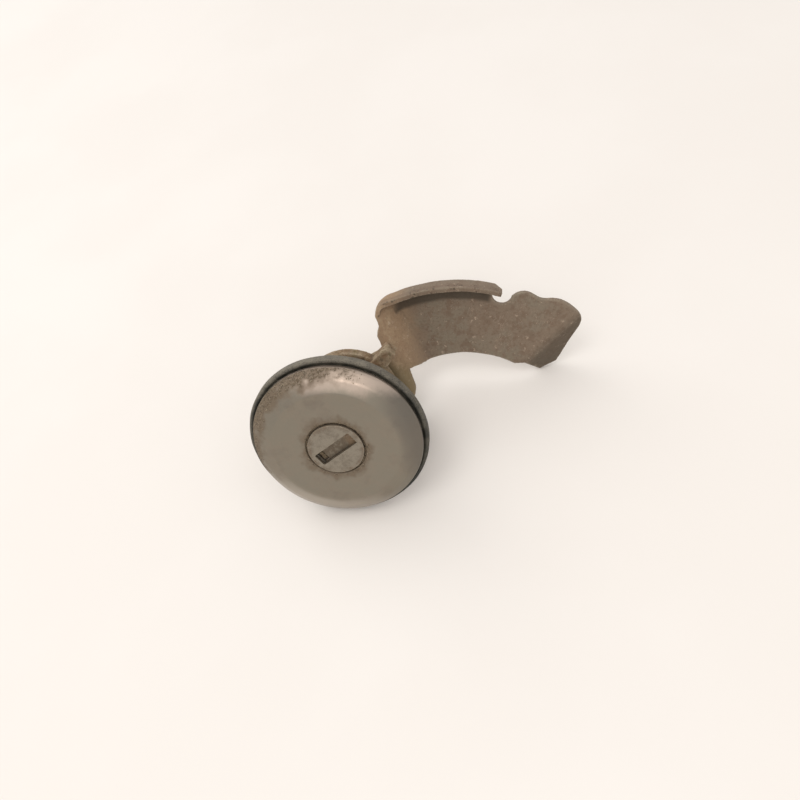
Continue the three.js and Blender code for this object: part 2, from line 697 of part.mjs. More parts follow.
function retainingClip() {
  const holeR = CLIP_NECK_R + GAP;
  const mouth = 0.9 * holeR;
  const outerAngle = Math.asin(mouth / CLIP_R);
  const innerAngle = Math.asin(mouth / holeR);
  const clip = new THREE.Shape();
  clip.absarc(0, 0, CLIP_R, outerAngle, 2 * Math.PI - outerAngle);
  clip.absarc(0, 0, holeR, 2 * Math.PI - innerAngle, innerAngle, true);
  clip.closePath();
  return named("retaining_clip", plate(clip, CLIP_BACK_Z, CLIP_FRONT_Z, 12), springSteel);
}

// ---- Assembly ---------------------------------------------------------------------------------

const turning = new THREE.Group(); // all that turns with the key except the lever and washers
turning.rotation.z = radians(PLUG_AZIMUTH - 90);
turning.add(plug(), plugCover(), shutter(), shutterPin(), shutterSpring(), plugSeal());
turning.add(retainingClip());
for (let i = 0; i < WAFER_COUNT; i += 1) turning.add(wafer(i), waferSpring(i));

const tailHoleR = (TAIL_SIDE / 2) * Math.SQRT2 + 0.4;
const lock = new THREE.Group();
lock.rotation.z = radians(LYING_ROLL);
lock.add(faceCap(), gasket(), housing(), turning, leverArm());
lock.add(washer("thrust_washer", THRUST_R, tailHoleR, THRUST_BACK_Z, THRUST_FRONT_Z, SMALL_ROUND));
lock.add(
  washer("tail_washer", TAIL_WASHER_R, tailHoleR, TAIL_WASHER_BACK_Z, TAIL_WASHER_FRONT_Z, SMALL_ROUND),
);

const lying = new THREE.Group();
lying.rotation.x = Math.PI / 2 - LYING_TILT;
lying.add(lock);

const part = new THREE.Group();
part.name = "lid_lock";
part.add(lying);
part.updateMatrixWorld(true);
const bounds = new THREE.Box3().setFromObject(part, true);
const centre = bounds.getCenter(new THREE.Vector3());
part.position.set(-centre.x, -centre.y, -bounds.min.z);

export default part;
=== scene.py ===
"""A worn lid lock: capped cylinder, rubber gasket, slotted plug and a folded lever arm.

Every piece is modelled in the lock's own frame, in millimetres: Z runs along the lock's axis and
out of the cap's face, and Z = 0 is the plane of the cap's rim. ``LockFrame`` then puts it where
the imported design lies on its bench, in metres.
"""

from __future__ import annotations

import json
import logging
import math
from dataclasses import dataclass, field
from enum import Enum
from typing import Callable, Iterable, Sequence

import bmesh
import bpy
import numpy as np
from mathutils import Matrix, Vector, noise

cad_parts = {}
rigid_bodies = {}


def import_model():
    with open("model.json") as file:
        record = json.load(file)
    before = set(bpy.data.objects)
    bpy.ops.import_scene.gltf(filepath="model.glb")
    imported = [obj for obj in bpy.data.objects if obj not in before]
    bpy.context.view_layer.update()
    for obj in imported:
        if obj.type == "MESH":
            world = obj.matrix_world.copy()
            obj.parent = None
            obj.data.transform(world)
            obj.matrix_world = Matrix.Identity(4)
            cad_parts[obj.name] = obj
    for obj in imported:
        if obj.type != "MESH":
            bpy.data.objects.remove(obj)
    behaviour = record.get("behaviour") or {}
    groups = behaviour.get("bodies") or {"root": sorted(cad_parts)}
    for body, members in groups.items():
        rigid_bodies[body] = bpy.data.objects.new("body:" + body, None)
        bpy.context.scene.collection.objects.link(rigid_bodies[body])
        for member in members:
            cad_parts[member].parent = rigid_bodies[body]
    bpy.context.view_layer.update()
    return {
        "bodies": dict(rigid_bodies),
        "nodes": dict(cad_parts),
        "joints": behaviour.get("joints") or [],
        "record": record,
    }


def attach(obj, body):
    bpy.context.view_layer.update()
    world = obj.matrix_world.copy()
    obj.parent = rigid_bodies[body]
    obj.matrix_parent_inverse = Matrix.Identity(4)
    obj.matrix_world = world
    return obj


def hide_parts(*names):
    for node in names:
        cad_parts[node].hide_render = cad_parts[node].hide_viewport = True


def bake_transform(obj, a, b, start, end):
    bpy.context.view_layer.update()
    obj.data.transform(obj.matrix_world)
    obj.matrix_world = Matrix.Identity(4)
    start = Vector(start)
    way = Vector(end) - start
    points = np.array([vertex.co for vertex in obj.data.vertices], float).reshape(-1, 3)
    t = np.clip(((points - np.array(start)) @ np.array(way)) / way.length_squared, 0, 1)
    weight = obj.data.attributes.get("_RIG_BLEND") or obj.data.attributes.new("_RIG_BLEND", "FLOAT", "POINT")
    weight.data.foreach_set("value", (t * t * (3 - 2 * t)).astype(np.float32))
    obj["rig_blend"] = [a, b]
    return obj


LOG = logging.getLogger("lid_lock")
MM = 0.001
Colour = tuple[float, float, float]
Point = tuple[float, float]
Corner = tuple[float, float, float]


class Body(Enum):
    """The rigid bodies of the design that pieces ride on."""

    CASE = "case"
    CORE = "core"
    FLAP = "dust_flap"


class Slot(Enum):
    """The record's material slots."""

    STAINLESS = "satin_stainless"
    RUBBER = "black_rubber"
    CASTING = "corroded_zinc"
    PLUG = "plug_zinc"
    BRASS = "dull_brass"
    SPRING = "spring_steel"
    LEVER = "rusty_steel"


# ---- Frame ----------------------------------------------------------------------------------


@dataclass(frozen=True)
class LockFrame:
    """The lock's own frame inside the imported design.

    Args:
        to_row: Matrix from lock millimetres to the design's metres.
        key_turn: Degrees from the lock's X to the key slot's short side.
    """

    to_row: Matrix
    key_turn: float

    @classmethod
    def from_joints(cls, joints: list[dict]) -> "LockFrame":
        """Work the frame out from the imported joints.

        Args:
            joints: The design's joints; the plug's hinge gives the axis and the shutter's hinge
                runs along the key slot.

        Returns:
            The frame that every piece is placed with.
        """
        slot_azimuth = 49.6
        hinge_depth = 12.0
        by_name = {joint["name"]: joint for joint in joints}
        plug, shutter = by_name["plug_turn"], by_name["shutter_swing"]
        out = Vector(plug["axis"]).normalized()
        along_slot = -Vector(shutter["axis"]).normalized()
        across_slot = along_slot.cross(out)
        turn = math.radians(slot_azimuth)
        right = math.cos(turn) * along_slot + math.sin(turn) * across_slot
        up = math.sin(turn) * along_slot - math.cos(turn) * across_slot
        origin = Vector(plug["pos_m"]) + out * hinge_depth * MM
        turned = Matrix((right, up, out)).transposed().to_4x4()
        to_row = Matrix.Translation(origin) @ turned @ Matrix.Scale(MM, 4)
        return cls(to_row, slot_azimuth - 90.0)

    @property
    def key_to_lock(self) -> Matrix:
        """Matrix from the plug's own frame, whose Y runs along the key slot."""
        return Matrix.Rotation(math.radians(self.key_turn), 4, "Z")


# ---- Mesh helpers ---------------------------------------------------------------------------


def mesh_object(name: str, vertices: Iterable, faces: Iterable) -> bpy.types.Object:
    """Make a linked mesh object.

    Args:
        name: The piece's name.
        vertices: Corner positions.
        faces: Corner indices of each face.

    Returns:
        The new object.
    """
    mesh = bpy.data.meshes.new(name)
    mesh.from_pydata([tuple(v) for v in vertices], [], [tuple(f) for f in faces])
    piece = bpy.data.objects.new(name, mesh)
    bpy.context.scene.collection.objects.link(piece)
    return piece


def add_modifier(piece: bpy.types.Object, kind: str, **settings) -> bpy.types.Modifier:
    """Add a modifier and set it up.

    Args:
        piece: The object to change.
        kind: The modifier's type.
        **settings: Its settings by name.

    Returns:
        The modifier.
    """
    modifier = piece.modifiers.new(kind.lower(), kind)
    for key, value in settings.items():
        setattr(modifier, key, value)
    return modifier


def settle(piece: bpy.types.Object) -> bpy.types.Object:
    """Turn an object's modifiers, curve or node tree into its plain mesh.

    Args:
        piece: The object whose result is wanted; it is removed.

    Returns:
        A plain mesh object of the same name.
    """
    name = piece.name
    graph = bpy.context.evaluated_depsgraph_get()
    mesh = bpy.data.meshes.new_from_object(piece.evaluated_get(graph), depsgraph=graph)
    mesh.transform(piece.matrix_world)
    bpy.data.objects.remove(piece)
    mesh.name = name
    plain = bpy.data.objects.new(name, mesh)
    bpy.context.scene.collection.objects.link(plain)
    return plain


def merged(piece: bpy.types.Object, distance: float) -> bpy.types.Object:
    """Merge doubled corners and turn the faces outward.

    Args:
        piece: The object to clean.
        distance: How close two corners are when they are one.

    Returns:
        The same object.
    """
    work = bmesh.new()
    work.from_mesh(piece.data)
    bmesh.ops.remove_doubles(work, verts=work.verts, dist=distance)
    bmesh.ops.recalc_face_normals(work, faces=work.faces)
    work.to_mesh(piece.data)
    work.free()
    return piece


def turned(name: str, profile: Sequence[Point], sides: int) -> bpy.types.Object:
    """Turn a closed outline of (radius, height) points about Z.

    Args:
        name: The piece's name.
        profile: The outline, anticlockwise in the (radius, height) plane.
        sides: How many sides the circle has.

    Returns:
        A closed ring.
    """
    count = len(profile)
    angles = [2 * math.pi * i / sides for i in range(sides)]
    vertices = [
        (r * math.cos(a), r * math.sin(a), z) for a in angles for r, z in profile
    ]
    faces = [
        (
            i * count + j,
            i * count + (j + 1) % count,
            (i + 1) % sides * count + (j + 1) % count,
            (i + 1) % sides * count + j,
        )
        for i in range(sides)
        for j in range(count)
    ]
    return merged(mesh_object(name, vertices, faces), 1e-5)


def rounded(corners: Sequence[tuple[float, float, float]], steps: int = 5) -> list[Point]:
    """Round the corners of a closed outline.

    Args:
        corners: (x, y, radius) of each corner.
        steps: Points on each rounded corner.

    Returns:
        The rounded outline.
    """
    outline: list[Point] = []
    for i, (x, y, radius) in enumerate(corners):
        here = Vector((x, y))
        before = Vector(corners[i - 1][:2]) - here
        after = Vector(corners[(i + 1) % len(corners)][:2]) - here
        if radius <= 0:
            outline.append((x, y))
            continue
        half = before.angle(after) / 2
        reach = min(radius / math.tan(half), before.length * 0.49, after.length * 0.49)
        start, end = here + before.normalized() * reach, here + after.normalized() * reach
        for k in range(steps + 1):
            t = k / steps
            point = start * (1 - t) ** 2 + here * 2 * t * (1 - t) + end * t**2
            outline.append((point.x, point.y))
    return outline


def subdivided(outline: Sequence[Point], longest: float) -> list[Point]:
    """Split an outline's long sides, so that a turned face has rings all over it.

    Args:
        outline: The closed outline.
        longest: The longest side that may stay.

    Returns:
        The outline with more points.
    """
    points: list[Point] = []
    for (x0, y0), (x1, y1) in zip(outline, [*outline[1:], outline[0]]):
        parts = max(1, math.ceil(math.hypot(x1 - x0, y1 - y0) / longest))
        points += [(x0 + (x1 - x0) * k / parts, y0 + (y1 - y0) * k / parts) for k in range(parts)]
    return points


def circle(radius: float, count: int, start: float = 0.0, sweep: float = 360.0) -> list[Point]:
    """Points of a circle or arc.

    Args:
        radius: Its radius.
        count: How many points.
        start: Angle of the first point, in degrees.
        sweep: Degrees that the points cover.

    Returns:
        The points, without the last one where the circle closes.
    """
    steps = count if sweep >= 360 else count - 1
    turns = [math.radians(start + sweep * k / steps) for k in range(count)]
    return [(radius * math.cos(a), radius * math.sin(a)) for a in turns]


def flat_piece(
    name: str, outlines: Sequence[Sequence[Point]], low: float, high: float, edge: float
) -> bpy.types.Object:
    """Cut a flat plate with softened edges from outlines, the later ones being its holes.

    Args:
        name: The piece's name.
        outlines: Closed outlines.
        low: Height of its lower face.
        high: Height of its upper face.
        edge: Size of the softened edge.

    Returns:
        The plate as a plain mesh.
    """
    curve = bpy.data.curves.new(name, "CURVE")
    curve.dimensions = "2D"
    curve.fill_mode = "BOTH"
    curve.extrude = (high - low) / 2 - edge
    curve.bevel_depth = edge
    curve.bevel_resolution = 2
    curve.offset = -edge
    for outline in outlines:
        spline = curve.splines.new("POLY")
        spline.points.add(len(outline) - 1)
        for point, (x, y) in zip(spline.points, outline):
            point.co = (x, y, 0, 1)
        spline.use_cyclic_u = True
    plate = bpy.data.objects.new(name, curve)
    bpy.context.scene.collection.objects.link(plate)
    plate.location.z = (low + high) / 2
    bpy.context.view_layer.update()
    return merged(settle(plate), 1e-4)


def block(name: str, low: Sequence[float], high: Sequence[float]) -> bpy.types.Object:
    """Make a plain block between two corners, as stock for a casting."""
    xs, ys, zs = zip(low, high)
    corners = [(x, y, z) for z in zs for y in ys for x in xs]
    sides = [(0, 2, 3, 1), (4, 5, 7, 6), (0, 1, 5, 4), (2, 6, 7, 3), (0, 4, 6, 2), (1, 3, 7, 5)]
    return mesh_object(name, corners, sides)


def cast(piece: bpy.types.Object, grain: float, soften: int) -> bpy.types.Object:
    """Fuse overlapping stock into one skin with soft edges, as casting or tumbling leaves it.

    Args:
        piece: Closed bodies in one mesh.
        grain: Size of the skin's faces.
        soften: How many times the skin is smoothed.

    Returns:
        The fused piece.
    """
    add_modifier(piece, "REMESH", mode="VOXEL", voxel_size=grain, use_smooth_shade=True)
    add_modifier(piece, "SMOOTH", factor=0.5, iterations=soften)
    return settle(piece)


def coordinates(mesh: bpy.types.Mesh, what: str = "vertices") -> np.ndarray:
    """Read a mesh's corner positions or normals.

    Args:
        mesh: The mesh.
        what: "vertices" for positions or "normals" for the corner normals.

    Returns:
        An array with one row for each corner.
    """
    out = np.empty(len(mesh.vertices) * 3)
    source, key = (mesh.vertices, "co") if what == "vertices" else (mesh.vertex_normals, "vector")
    source.foreach_get(key, out)
    return out.reshape(-1, 3)


@dataclass(frozen=True)
class Pitting:
    """Uneven wear pressed into a skin.

    Args:
        depth: Height of the broad unevenness, in millimetres.
        size: Width of the broad unevenness.
        fine_depth: Height of the fine pits.
        fine_size: Width of the fine pits.
        seed: Which pattern.
    """

    depth: float
    size: float
    fine_depth: float
    fine_size: float
    seed: float

    def press(
        self, piece: bpy.types.Object, where: Callable[[np.ndarray], np.ndarray] | None = None
    ) -> None:
        """Move a piece's corners along their normals.

        Args:
            piece: The piece in lock millimetres.
            where: Gives each place's share of the full movement.
        """
        points = coordinates(piece.data)
        normals = coordinates(piece.data, "normals")
        shift = Vector((self.seed, -self.seed, self.seed * 0.37))
        moves = [
            self.depth * noise.noise(Vector(p) / self.size + shift)
            - self.fine_depth * max(0.0, noise.noise(Vector(p) / self.fine_size - shift))
            for p in points
        ]
        share = where(points) if where else np.ones(len(points))
        points += normals * (np.array(moves) * share)[:, None]
        piece.data.vertices.foreach_set("co", points.ravel())
        piece.data.update()


def store(mesh: bpy.types.Mesh, name: str, values: np.ndarray) -> None:
    """Store one value for each corner, for a finish or a scatter to read.

    Args:
        mesh: The mesh.
        name: The attribute's name.
        values: The values, held between 0 and 1.
    """
    layer = mesh.attributes.new(name, "FLOAT", "POINT")
    layer.data.foreach_set("value", np.clip(values, 0, 1))


def clouds(points: np.ndarray, size: float, seed: float, layers: int = 3) -> np.ndarray:
    """Cloudy noise at many places.

    Args:
        points: The places.
        size: Width of the patches.
        seed: Which pattern.
        layers: How many finer layers are added.

    Returns:
        The noise, about -1 to 1.
    """
    shift = Vector((seed, seed * 0.7, -seed))
    return np.array(
        [noise.fractal(Vector(p) / size + shift, 0.6, 2.1, layers) for p in points]
    )


def mark_edges(piece: bpy.types.Object, scale: float, passes: int = 3) -> None:
    """Store how far each corner stands out or lies in; finishes lighten the first as wear and darken the
    second.

    Args:
        piece: The piece in lock millimetres.
        scale: The bulge, in millimetres, that counts as a full edge.
        passes: How many times the values are spread to their neighbours.
    """
    mesh = piece.data
    points, normals = coordinates(mesh), coordinates(mesh, "normals")
    pairs = np.empty(len(mesh.edges) * 2, dtype=np.int64)
    mesh.edges.foreach_get("vertices", pairs)
    a, b = pairs.reshape(-1, 2).T
    count = np.maximum(np.bincount(pairs, minlength=len(points)), 1)

    def spread(values: np.ndarray) -> np.ndarray:
        """Average each corner's value over its neighbours."""
        total = np.zeros_like(values)
        np.add.at(total, a, values[b])
        np.add.at(total, b, values[a])
        return total / (count[:, None] if values.ndim > 1 else count)

    bulge = -((spread(points) - points) * normals).sum(axis=1)
    for _ in range(passes):
        bulge = (bulge + spread(bulge)) / 2
    store(mesh, "worn", bulge / scale)
    store(mesh, "sunk", -bulge / scale)


# ---- Shader helpers -------------------------------------------------------------------------


class Value:
    """A number that varies over a surface, with the arithmetic of Python."""

    def __init__(self, graph: "Graph", socket: bpy.types.NodeSocket) -> None:
        """Wrap a socket."""
        self.graph = graph
        self.socket = socket

    def _math(self, operation: str, *values: "Value | float") -> "Value":
        """Add a Math node."""
        inputs = {i: v for i, v in enumerate(values)}
        return self.graph.value(self.graph.node("Math", {"operation": operation}, inputs))

    def __add__(self, other: "Value | float") -> "Value":
        """Sum."""
        return self._math("ADD", self, other)

    __radd__ = __add__

    def __sub__(self, other: "Value | float") -> "Value":
        """Difference."""
        return self._math("SUBTRACT", self, other)

    def __rsub__(self, other: float) -> "Value":
        """Difference from a number."""
        return self._math("SUBTRACT", other, self)

    def __mul__(self, other: "Value | float") -> "Value":
        """Product."""
        return self._math("MULTIPLY", self, other)

    __rmul__ = __mul__

    def sqrt(self) -> "Value":
        """Square root."""
        return self._math("SQRT", self)

    def distance_to(self, other: float) -> "Value":
        """How far the value is from a number."""
        return self._math("ABSOLUTE", self - other)

    def larger(self, other: "Value | float") -> "Value":
        """The larger of two values."""
        return self._math("MAXIMUM", self, other)

    def ramp(self, low: float, high: float, to_low: float = 0.0, to_high: float = 1.0) -> "Value":
        """Map the value smoothly from one range to another, held at the ends.

        Args:
            low: Value that gives to_low.
            high: Value that gives to_high.
            to_low: Result at low.
            to_high: Result at high.

        Returns:
            The mapped value.
        """
        rising = low <= high
        inputs = {
            "Value": self,
            "From Min": low if rising else high,
            "From Max": high if rising else low,
            "To Min": to_low if rising else to_high,
            "To Max": to_high if rising else to_low,
        }
        settings = {"interpolation_type": "SMOOTHSTEP"}
        return self.graph.value(self.graph.node("MapRange", settings, inputs))


class Graph:
    """One material's node tree, with a single way to add a node."""

    def __init__(self, name: str, frame: LockFrame) -> None:
        """Start an empty material.

        Args:
            name: The material's name.
            frame: The lock's frame, in whose millimetres the patterns are drawn.
        """
        self.material = bpy.data.materials.new(name)
        self.material.use_nodes = True
        self.tree = self.material.node_tree
        self.tree.nodes.clear()
        self.output = self.node("OutputMaterial")
        coordinate = self.node("TexCoord")
        to_lock = frame.to_row.inverted()
        place = {
            "Vector": coordinate.outputs["Object"],
            "Location": to_lock.to_translation(),
            "Rotation": to_lock.to_euler(),
            "Scale": to_lock.to_scale(),
        }
        self.point = self.node("Mapping", {"vector_type": "POINT"}, place).outputs[0]
        parts = self.node("SeparateXYZ", None, {0: self.point})
        self.x, self.y, self.z = (Value(self, parts.outputs[i]) for i in range(3))
        self.radius = (self.x * self.x + self.y * self.y).sqrt()

    def node(
        self, kind: str, settings: dict | None = None, inputs: dict | None = None
    ) -> bpy.types.Node:
        """Add a node, set it up and feed it.

        Args:
            kind: Its type, without the common prefix.
            settings: Properties, set first.
            inputs: Values or links by socket name or index.

        Returns:
            The node.
        """
        node = self.tree.nodes.new(f"ShaderNode{kind}")
        for key, value in (settings or {}).items():
            setattr(node, key, value)
        for key, value in (inputs or {}).items():
            socket = node.inputs[key]
            source = value.socket if isinstance(value, Value) else value
            if isinstance(source, bpy.types.NodeSocket):
                self.tree.links.new(source, socket)
            elif isinstance(source, tuple) and len(source) == 3 and len(socket.default_value) == 4:
                socket.default_value = (*source, 1.0)
            else:
                socket.default_value = source
        return node

    def value(self, node: bpy.types.Node, output: int | str = 0) -> Value:
        """Wrap a node's output."""
        return Value(self, node.outputs[output])

    def stretched(self, scale: Sequence[float], turn: float = 0.0) -> bpy.types.NodeSocket:
        """The lock coordinates, scaled unevenly and turned about the axis, for drawn-out patterns."""
        inputs = {"Vector": self.point, "Scale": tuple(scale), "Rotation": (0, 0, math.radians(turn))}
        return self.node("Mapping", {"vector_type": "POINT"}, inputs).outputs[0]

    def noise(
        self, size: float, detail: float = 3.0, rough: float = 0.55, seed: float = 0.0,
        vector: bpy.types.NodeSocket | None = None, distortion: float = 0.0,
    ) -> Value:
        """Cloudy noise from 0 to 1.

        Args:
            size: Width of its patches, in millimetres.
            detail: How many finer layers it has.
            rough: Strength of the finer layers.
            seed: Which pattern.
            vector: Coordinates, if not the lock's own.
            distortion: How much the patches are stirred.

        Returns:
            The noise.
        """
        inputs = {
            "Vector": vector or self.point, "W": seed, "Scale": 1 / size,
            "Detail": detail, "Roughness": rough, "Distortion": distortion,
        }
        return self.value(self.node("TexNoise", {"noise_dimensions": "4D"}, inputs), 0)

    def cells(self, size: float, seed: float = 0.0, feature: str = "F1") -> Value:
        """Distance to scattered points, for flecks and crumbs.

        Args:
            size: Typical spacing, in millimetres.
            seed: Which pattern.
            feature: The Voronoi feature.

        Returns:
            The distance, where 1 is about the spacing.
        """
        settings = {"voronoi_dimensions": "4D", "feature": feature}
        inputs = {"Vector": self.point, "W": seed, "Scale": 1 / size}
        return self.value(self.node("TexVoronoi", settings, inputs), 0)

    def attribute(self, name: str) -> Value:
        """A value stored on the piece's corners."""
        node = self.node("Attribute", {"attribute_name": name})
        return self.value(node, "Fac")

    def mix(
        self,
        factor: Value,
        below: "bpy.types.NodeSocket | Colour",
        above: "bpy.types.NodeSocket | Colour",
    ) -> bpy.types.NodeSocket:
        """Lay one colour over another.

        Args:
            factor: Where the upper colour shows.
            below: The lower colour.
            above: The upper colour.

        Returns:
            The mixed colour.
        """
        settings = {"data_type": "RGBA", "clamp_factor": True}
        node = self.node("Mix", settings, {0: factor, 6: below, 7: above})
        return node.outputs[2]

    def layers(
        self, base: Colour, coats: Sequence[tuple[Value, Colour]]
    ) -> "bpy.types.NodeSocket | Colour":
        """Lay several coats of colour over a base.

        Args:
            base: The first colour.
            coats: Mask and colour of each coat, lowest first.

        Returns:
            The final colour.
        """
        colour: bpy.types.NodeSocket | Colour = base
        for mask, coat in coats:
            colour = self.mix(mask, colour, coat)
        return colour

    def bump(self, height: Value, depth: float, strength: float = 1.0) -> bpy.types.NodeSocket:
        """Relief from a height.

        Args:
            height: The height, from 0 to 1.
            depth: How many millimetres 1 stands for.
            strength: How strongly it shows.

        Returns:
            The bent normal.
        """
        inputs = {"Height": height, "Distance": depth * MM, "Strength": strength}
        return self.node("Bump", None, inputs).outputs[0]

    def surface(self, **inputs) -> bpy.types.Material:
        """Finish the material with a Principled surface.

        Args:
            **inputs: Its sockets, with underscores for spaces.

        Returns:
            The material.
        """
        named = {key.replace("_", " "): value for key, value in inputs.items()}
        shader = self.node("BsdfPrincipled", None, named)
        self.tree.links.new(shader.outputs[0], self.output.inputs[0])
        return self.material


# ---- Finishes -------------------------------------------------------------------------------


@dataclass(frozen=True)
class SatinStainless:
    """Worn satin stainless sheet, with a painted highlight on its upper slope, a painted reflection on the
    lower slope and painted shade on one side.

    Dirt lies where the sheet stores stain, and grit where it stores crust.
    """

    metal: Colour = (0.248, 0.223, 0.18)
    warm: Colour = (0.285, 0.235, 0.185)
    # dull is a duller tone of the sheet and also the painted shade of one side of the slope.
    dull: Colour = (0.155, 0.14, 0.122)
    # Painted reflection: the lower slope made lighter.
    reflection_tint: Colour = (0.47, 0.425, 0.37)
    # Painted highlight: a pinkish band on the upper slope.
    highlight_tint: Colour = (0.56, 0.46, 0.39)
    stain: Colour = (0.15, 0.108, 0.068)
    grit: Colour = (0.05, 0.037, 0.024)
    dust: Colour = (0.36, 0.30, 0.215)
    # Direction, in degrees, of the painted shade on the slope.
    shade_azimuth: float = 25.0

    def material(self, frame: LockFrame) -> bpy.types.Material:
        """Build the material.

        Args:
            frame: The lock's frame.

        Returns:
            The material.
        """
        g = Graph("satin_stainless", frame)
        cloud = g.noise(7.0, 4, 0.6, 1.0)
        mottle = g.noise(1.1, 5, 0.7, 2.0)
        fine = g.noise(0.22, 3, 0.6, 3.0)
        crust = g.attribute("crust")
        stain = g.attribute("stain")
        speck = (g.noise(0.4, 4, 0.75, 5.0) * 0.65 + fine * 0.35).ramp(0.48, 0.56)
        turn = math.radians(self.shade_azimuth)
        side = g.x * math.cos(turn) + g.y * math.sin(turn)
        slope = g.radius.ramp(14.8, 17.2)
        # Painted shade: the slope darker on one side.
        shaded = (side + cloud * 4).ramp(14.0, 21.5) * slope
        # Painted reflection: the lower slope made lighter.
        painted_reflection = (0 - g.y - cloud * 3).ramp(8.0, 17.0) * slope
        # Painted highlight: a pinkish band on the upper slope.
        painted_highlight = (g.y - g.x * 0.15 + cloud * 5 + mottle * 2).ramp(17.5, 21.5) * slope
        scratch_a = g.noise(1.0, 2, 0.5, 8.0, g.stretched((0.12, 5.5, 1), 34)).ramp(0.655, 0.69)
        scratch_b = g.noise(1.0, 2, 0.5, 9.0, g.stretched((0.1, 6.5, 1), -52)).ramp(0.67, 0.7)
        scratch = (scratch_a + scratch_b) * g.noise(3, 2, 0.5, 10.0).ramp(0.5, 0.62)
        smear = (stain + (mottle - 0.5) * 0.6).ramp(0.12, 0.9)
        heavy = (crust + (fine - 0.5) * 0.9).ramp(0.12, 0.5)
        colour = g.layers(
            self.metal,
            [
                ((cloud * 0.6 + mottle * 0.4).ramp(0.42, 0.64) * 0.55, self.warm),
                (cloud.ramp(0.5, 0.7) * 0.45, self.dull),
                # Painted shade on one side of the slope.
                (shaded * 0.75, self.dull),
                # Painted reflection on the lower slope.
                (painted_reflection * 0.75, self.reflection_tint),
                # Painted highlight on the upper slope.
                (painted_highlight * 0.75, self.highlight_tint),
                (smear * 0.78, self.stain),
                (heavy * 0.45, self.stain),
                (heavy * speck * 0.9, self.grit),
                (heavy * fine.ramp(0.54, 0.62) * 0.85, self.dust),
            ],
        )
        dirt = (smear * 0.75).larger(heavy)
        height = fine * 0.12 + mottle * 0.15 + heavy * speck * 1.6 - scratch * 0.3
        return g.surface(
            Base_Color=colour,
            Metallic=(1 - dirt * 0.9).larger(0.08),
            Roughness=(mottle * 0.1 + cloud * 0.08 + dirt * 0.3 + 0.34).ramp(0, 1, 0, 1),
            Normal=g.bump(height, 0.035, 0.8),
        )


@dataclass(frozen=True)
class PlugCoverSteel:
    """The plug's pressed cover: dull and pitted, with brown dirt round its rim and slot."""

    metal: Colour = (0.27, 0.24, 0.195)
    dull: Colour = (0.20, 0.175, 0.14)
    stain: Colour = (0.125, 0.09, 0.056)
    rust: Colour = (0.17, 0.095, 0.05)
    pale: Colour = (0.40, 0.35, 0.27)

    def material(self, frame: LockFrame) -> bpy.types.Material:
        """Build the material.

        Args:
            frame: The lock's frame.

        Returns:
            The material.
        """
        g = Graph("plug_cover_steel", frame)
        patch = g.noise(1.5, 5, 0.7, 11.0)
        pit = g.noise(0.3, 4, 0.7, 12.0)
        edge = g.radius.ramp(5.4, 6.9)
        worn = g.attribute("worn")
        slot = g.attribute("sunk").ramp(0, 0.5)
        low = g.z.ramp(3.15, 2.6)
        dirt = (edge * patch.ramp(0.3, 0.6) * 0.8).larger(low * 0.9).larger(slot)
        blots = (patch * 0.6 + pit * 0.4).ramp(0.5, 0.62)
        colour = g.layers(
            self.metal,
            [
                (patch.ramp(0.42, 0.62) * 0.7, self.dull),
                (blots * 0.3, self.stain),
                (dirt * 0.7, self.stain),
                (dirt * pit.ramp(0.5, 0.6), self.rust),
                (worn * pit.ramp(0.4, 0.6) * 0.7, self.pale),
            ],
        )
        height = pit * 0.6 - blots * 0.4 + patch * 0.3
        return g.surface(
            Base_Color=colour,
            Metallic=(0.95 - dirt * 0.7 - blots * 0.3).larger(0.05),
            Roughness=(pit * 0.15 + dirt * 0.3 + blots * 0.1 + 0.3).ramp(0, 1, 0, 1),
            Normal=g.bump(height, 0.06, 0.9),
        )


@dataclass(frozen=True)
class AgedRubber:
    """Old black rubber, cracked finely, with dust on its bead, heaviest on the upper side, where it is also
    painted light.
    """

    black: Colour = (0.016, 0.016, 0.011)
    faded: Colour = (0.072, 0.066, 0.049)
    # Dust, which on the upper side is also painted light.
    dust: Colour = (0.25, 0.22, 0.172)

    def material(self, frame: LockFrame) -> bpy.types.Material:
        """Build the material.

        Args:
            frame: The lock's frame.

        Returns:
            The material.
        """
        g = Graph("black_rubber", frame)
        cloud = g.noise(3.0, 4, 0.6, 20.0)
        grain = g.noise(0.25, 4, 0.7, 21.0)
        crack = g.cells(0.9, 22.0, "DISTANCE_TO_EDGE").ramp(0.06, 0.0)
        # Dust on the bead, heavier on the upper side; the upper side's lightening is partly painted light.
        upper = (g.y * 0.8 - g.x * 0.4).ramp(-14, 18) * g.radius.ramp(21.2, 22.2)
        dust_and_light = (grain + upper * 0.14).ramp(0.48, 0.66) * (upper * 0.75 + cloud.ramp(0.4, 0.62) * 0.25)
        # The dust coat is partly painted light on the upper side.
        colour = g.layers(
            self.black,
            [(cloud.ramp(0.4, 0.65) * 0.8, self.faded), (dust_and_light * 0.7, self.dust)],
        )
        return g.surface(
            Base_Color=colour,
            Roughness=(grain * 0.25 + cloud * 0.15 + 0.38).ramp(0, 1, 0, 1),
            Normal=g.bump(grain * 0.6 - crack * 0.5 + dust_and_light, 0.05, 0.7),
        )


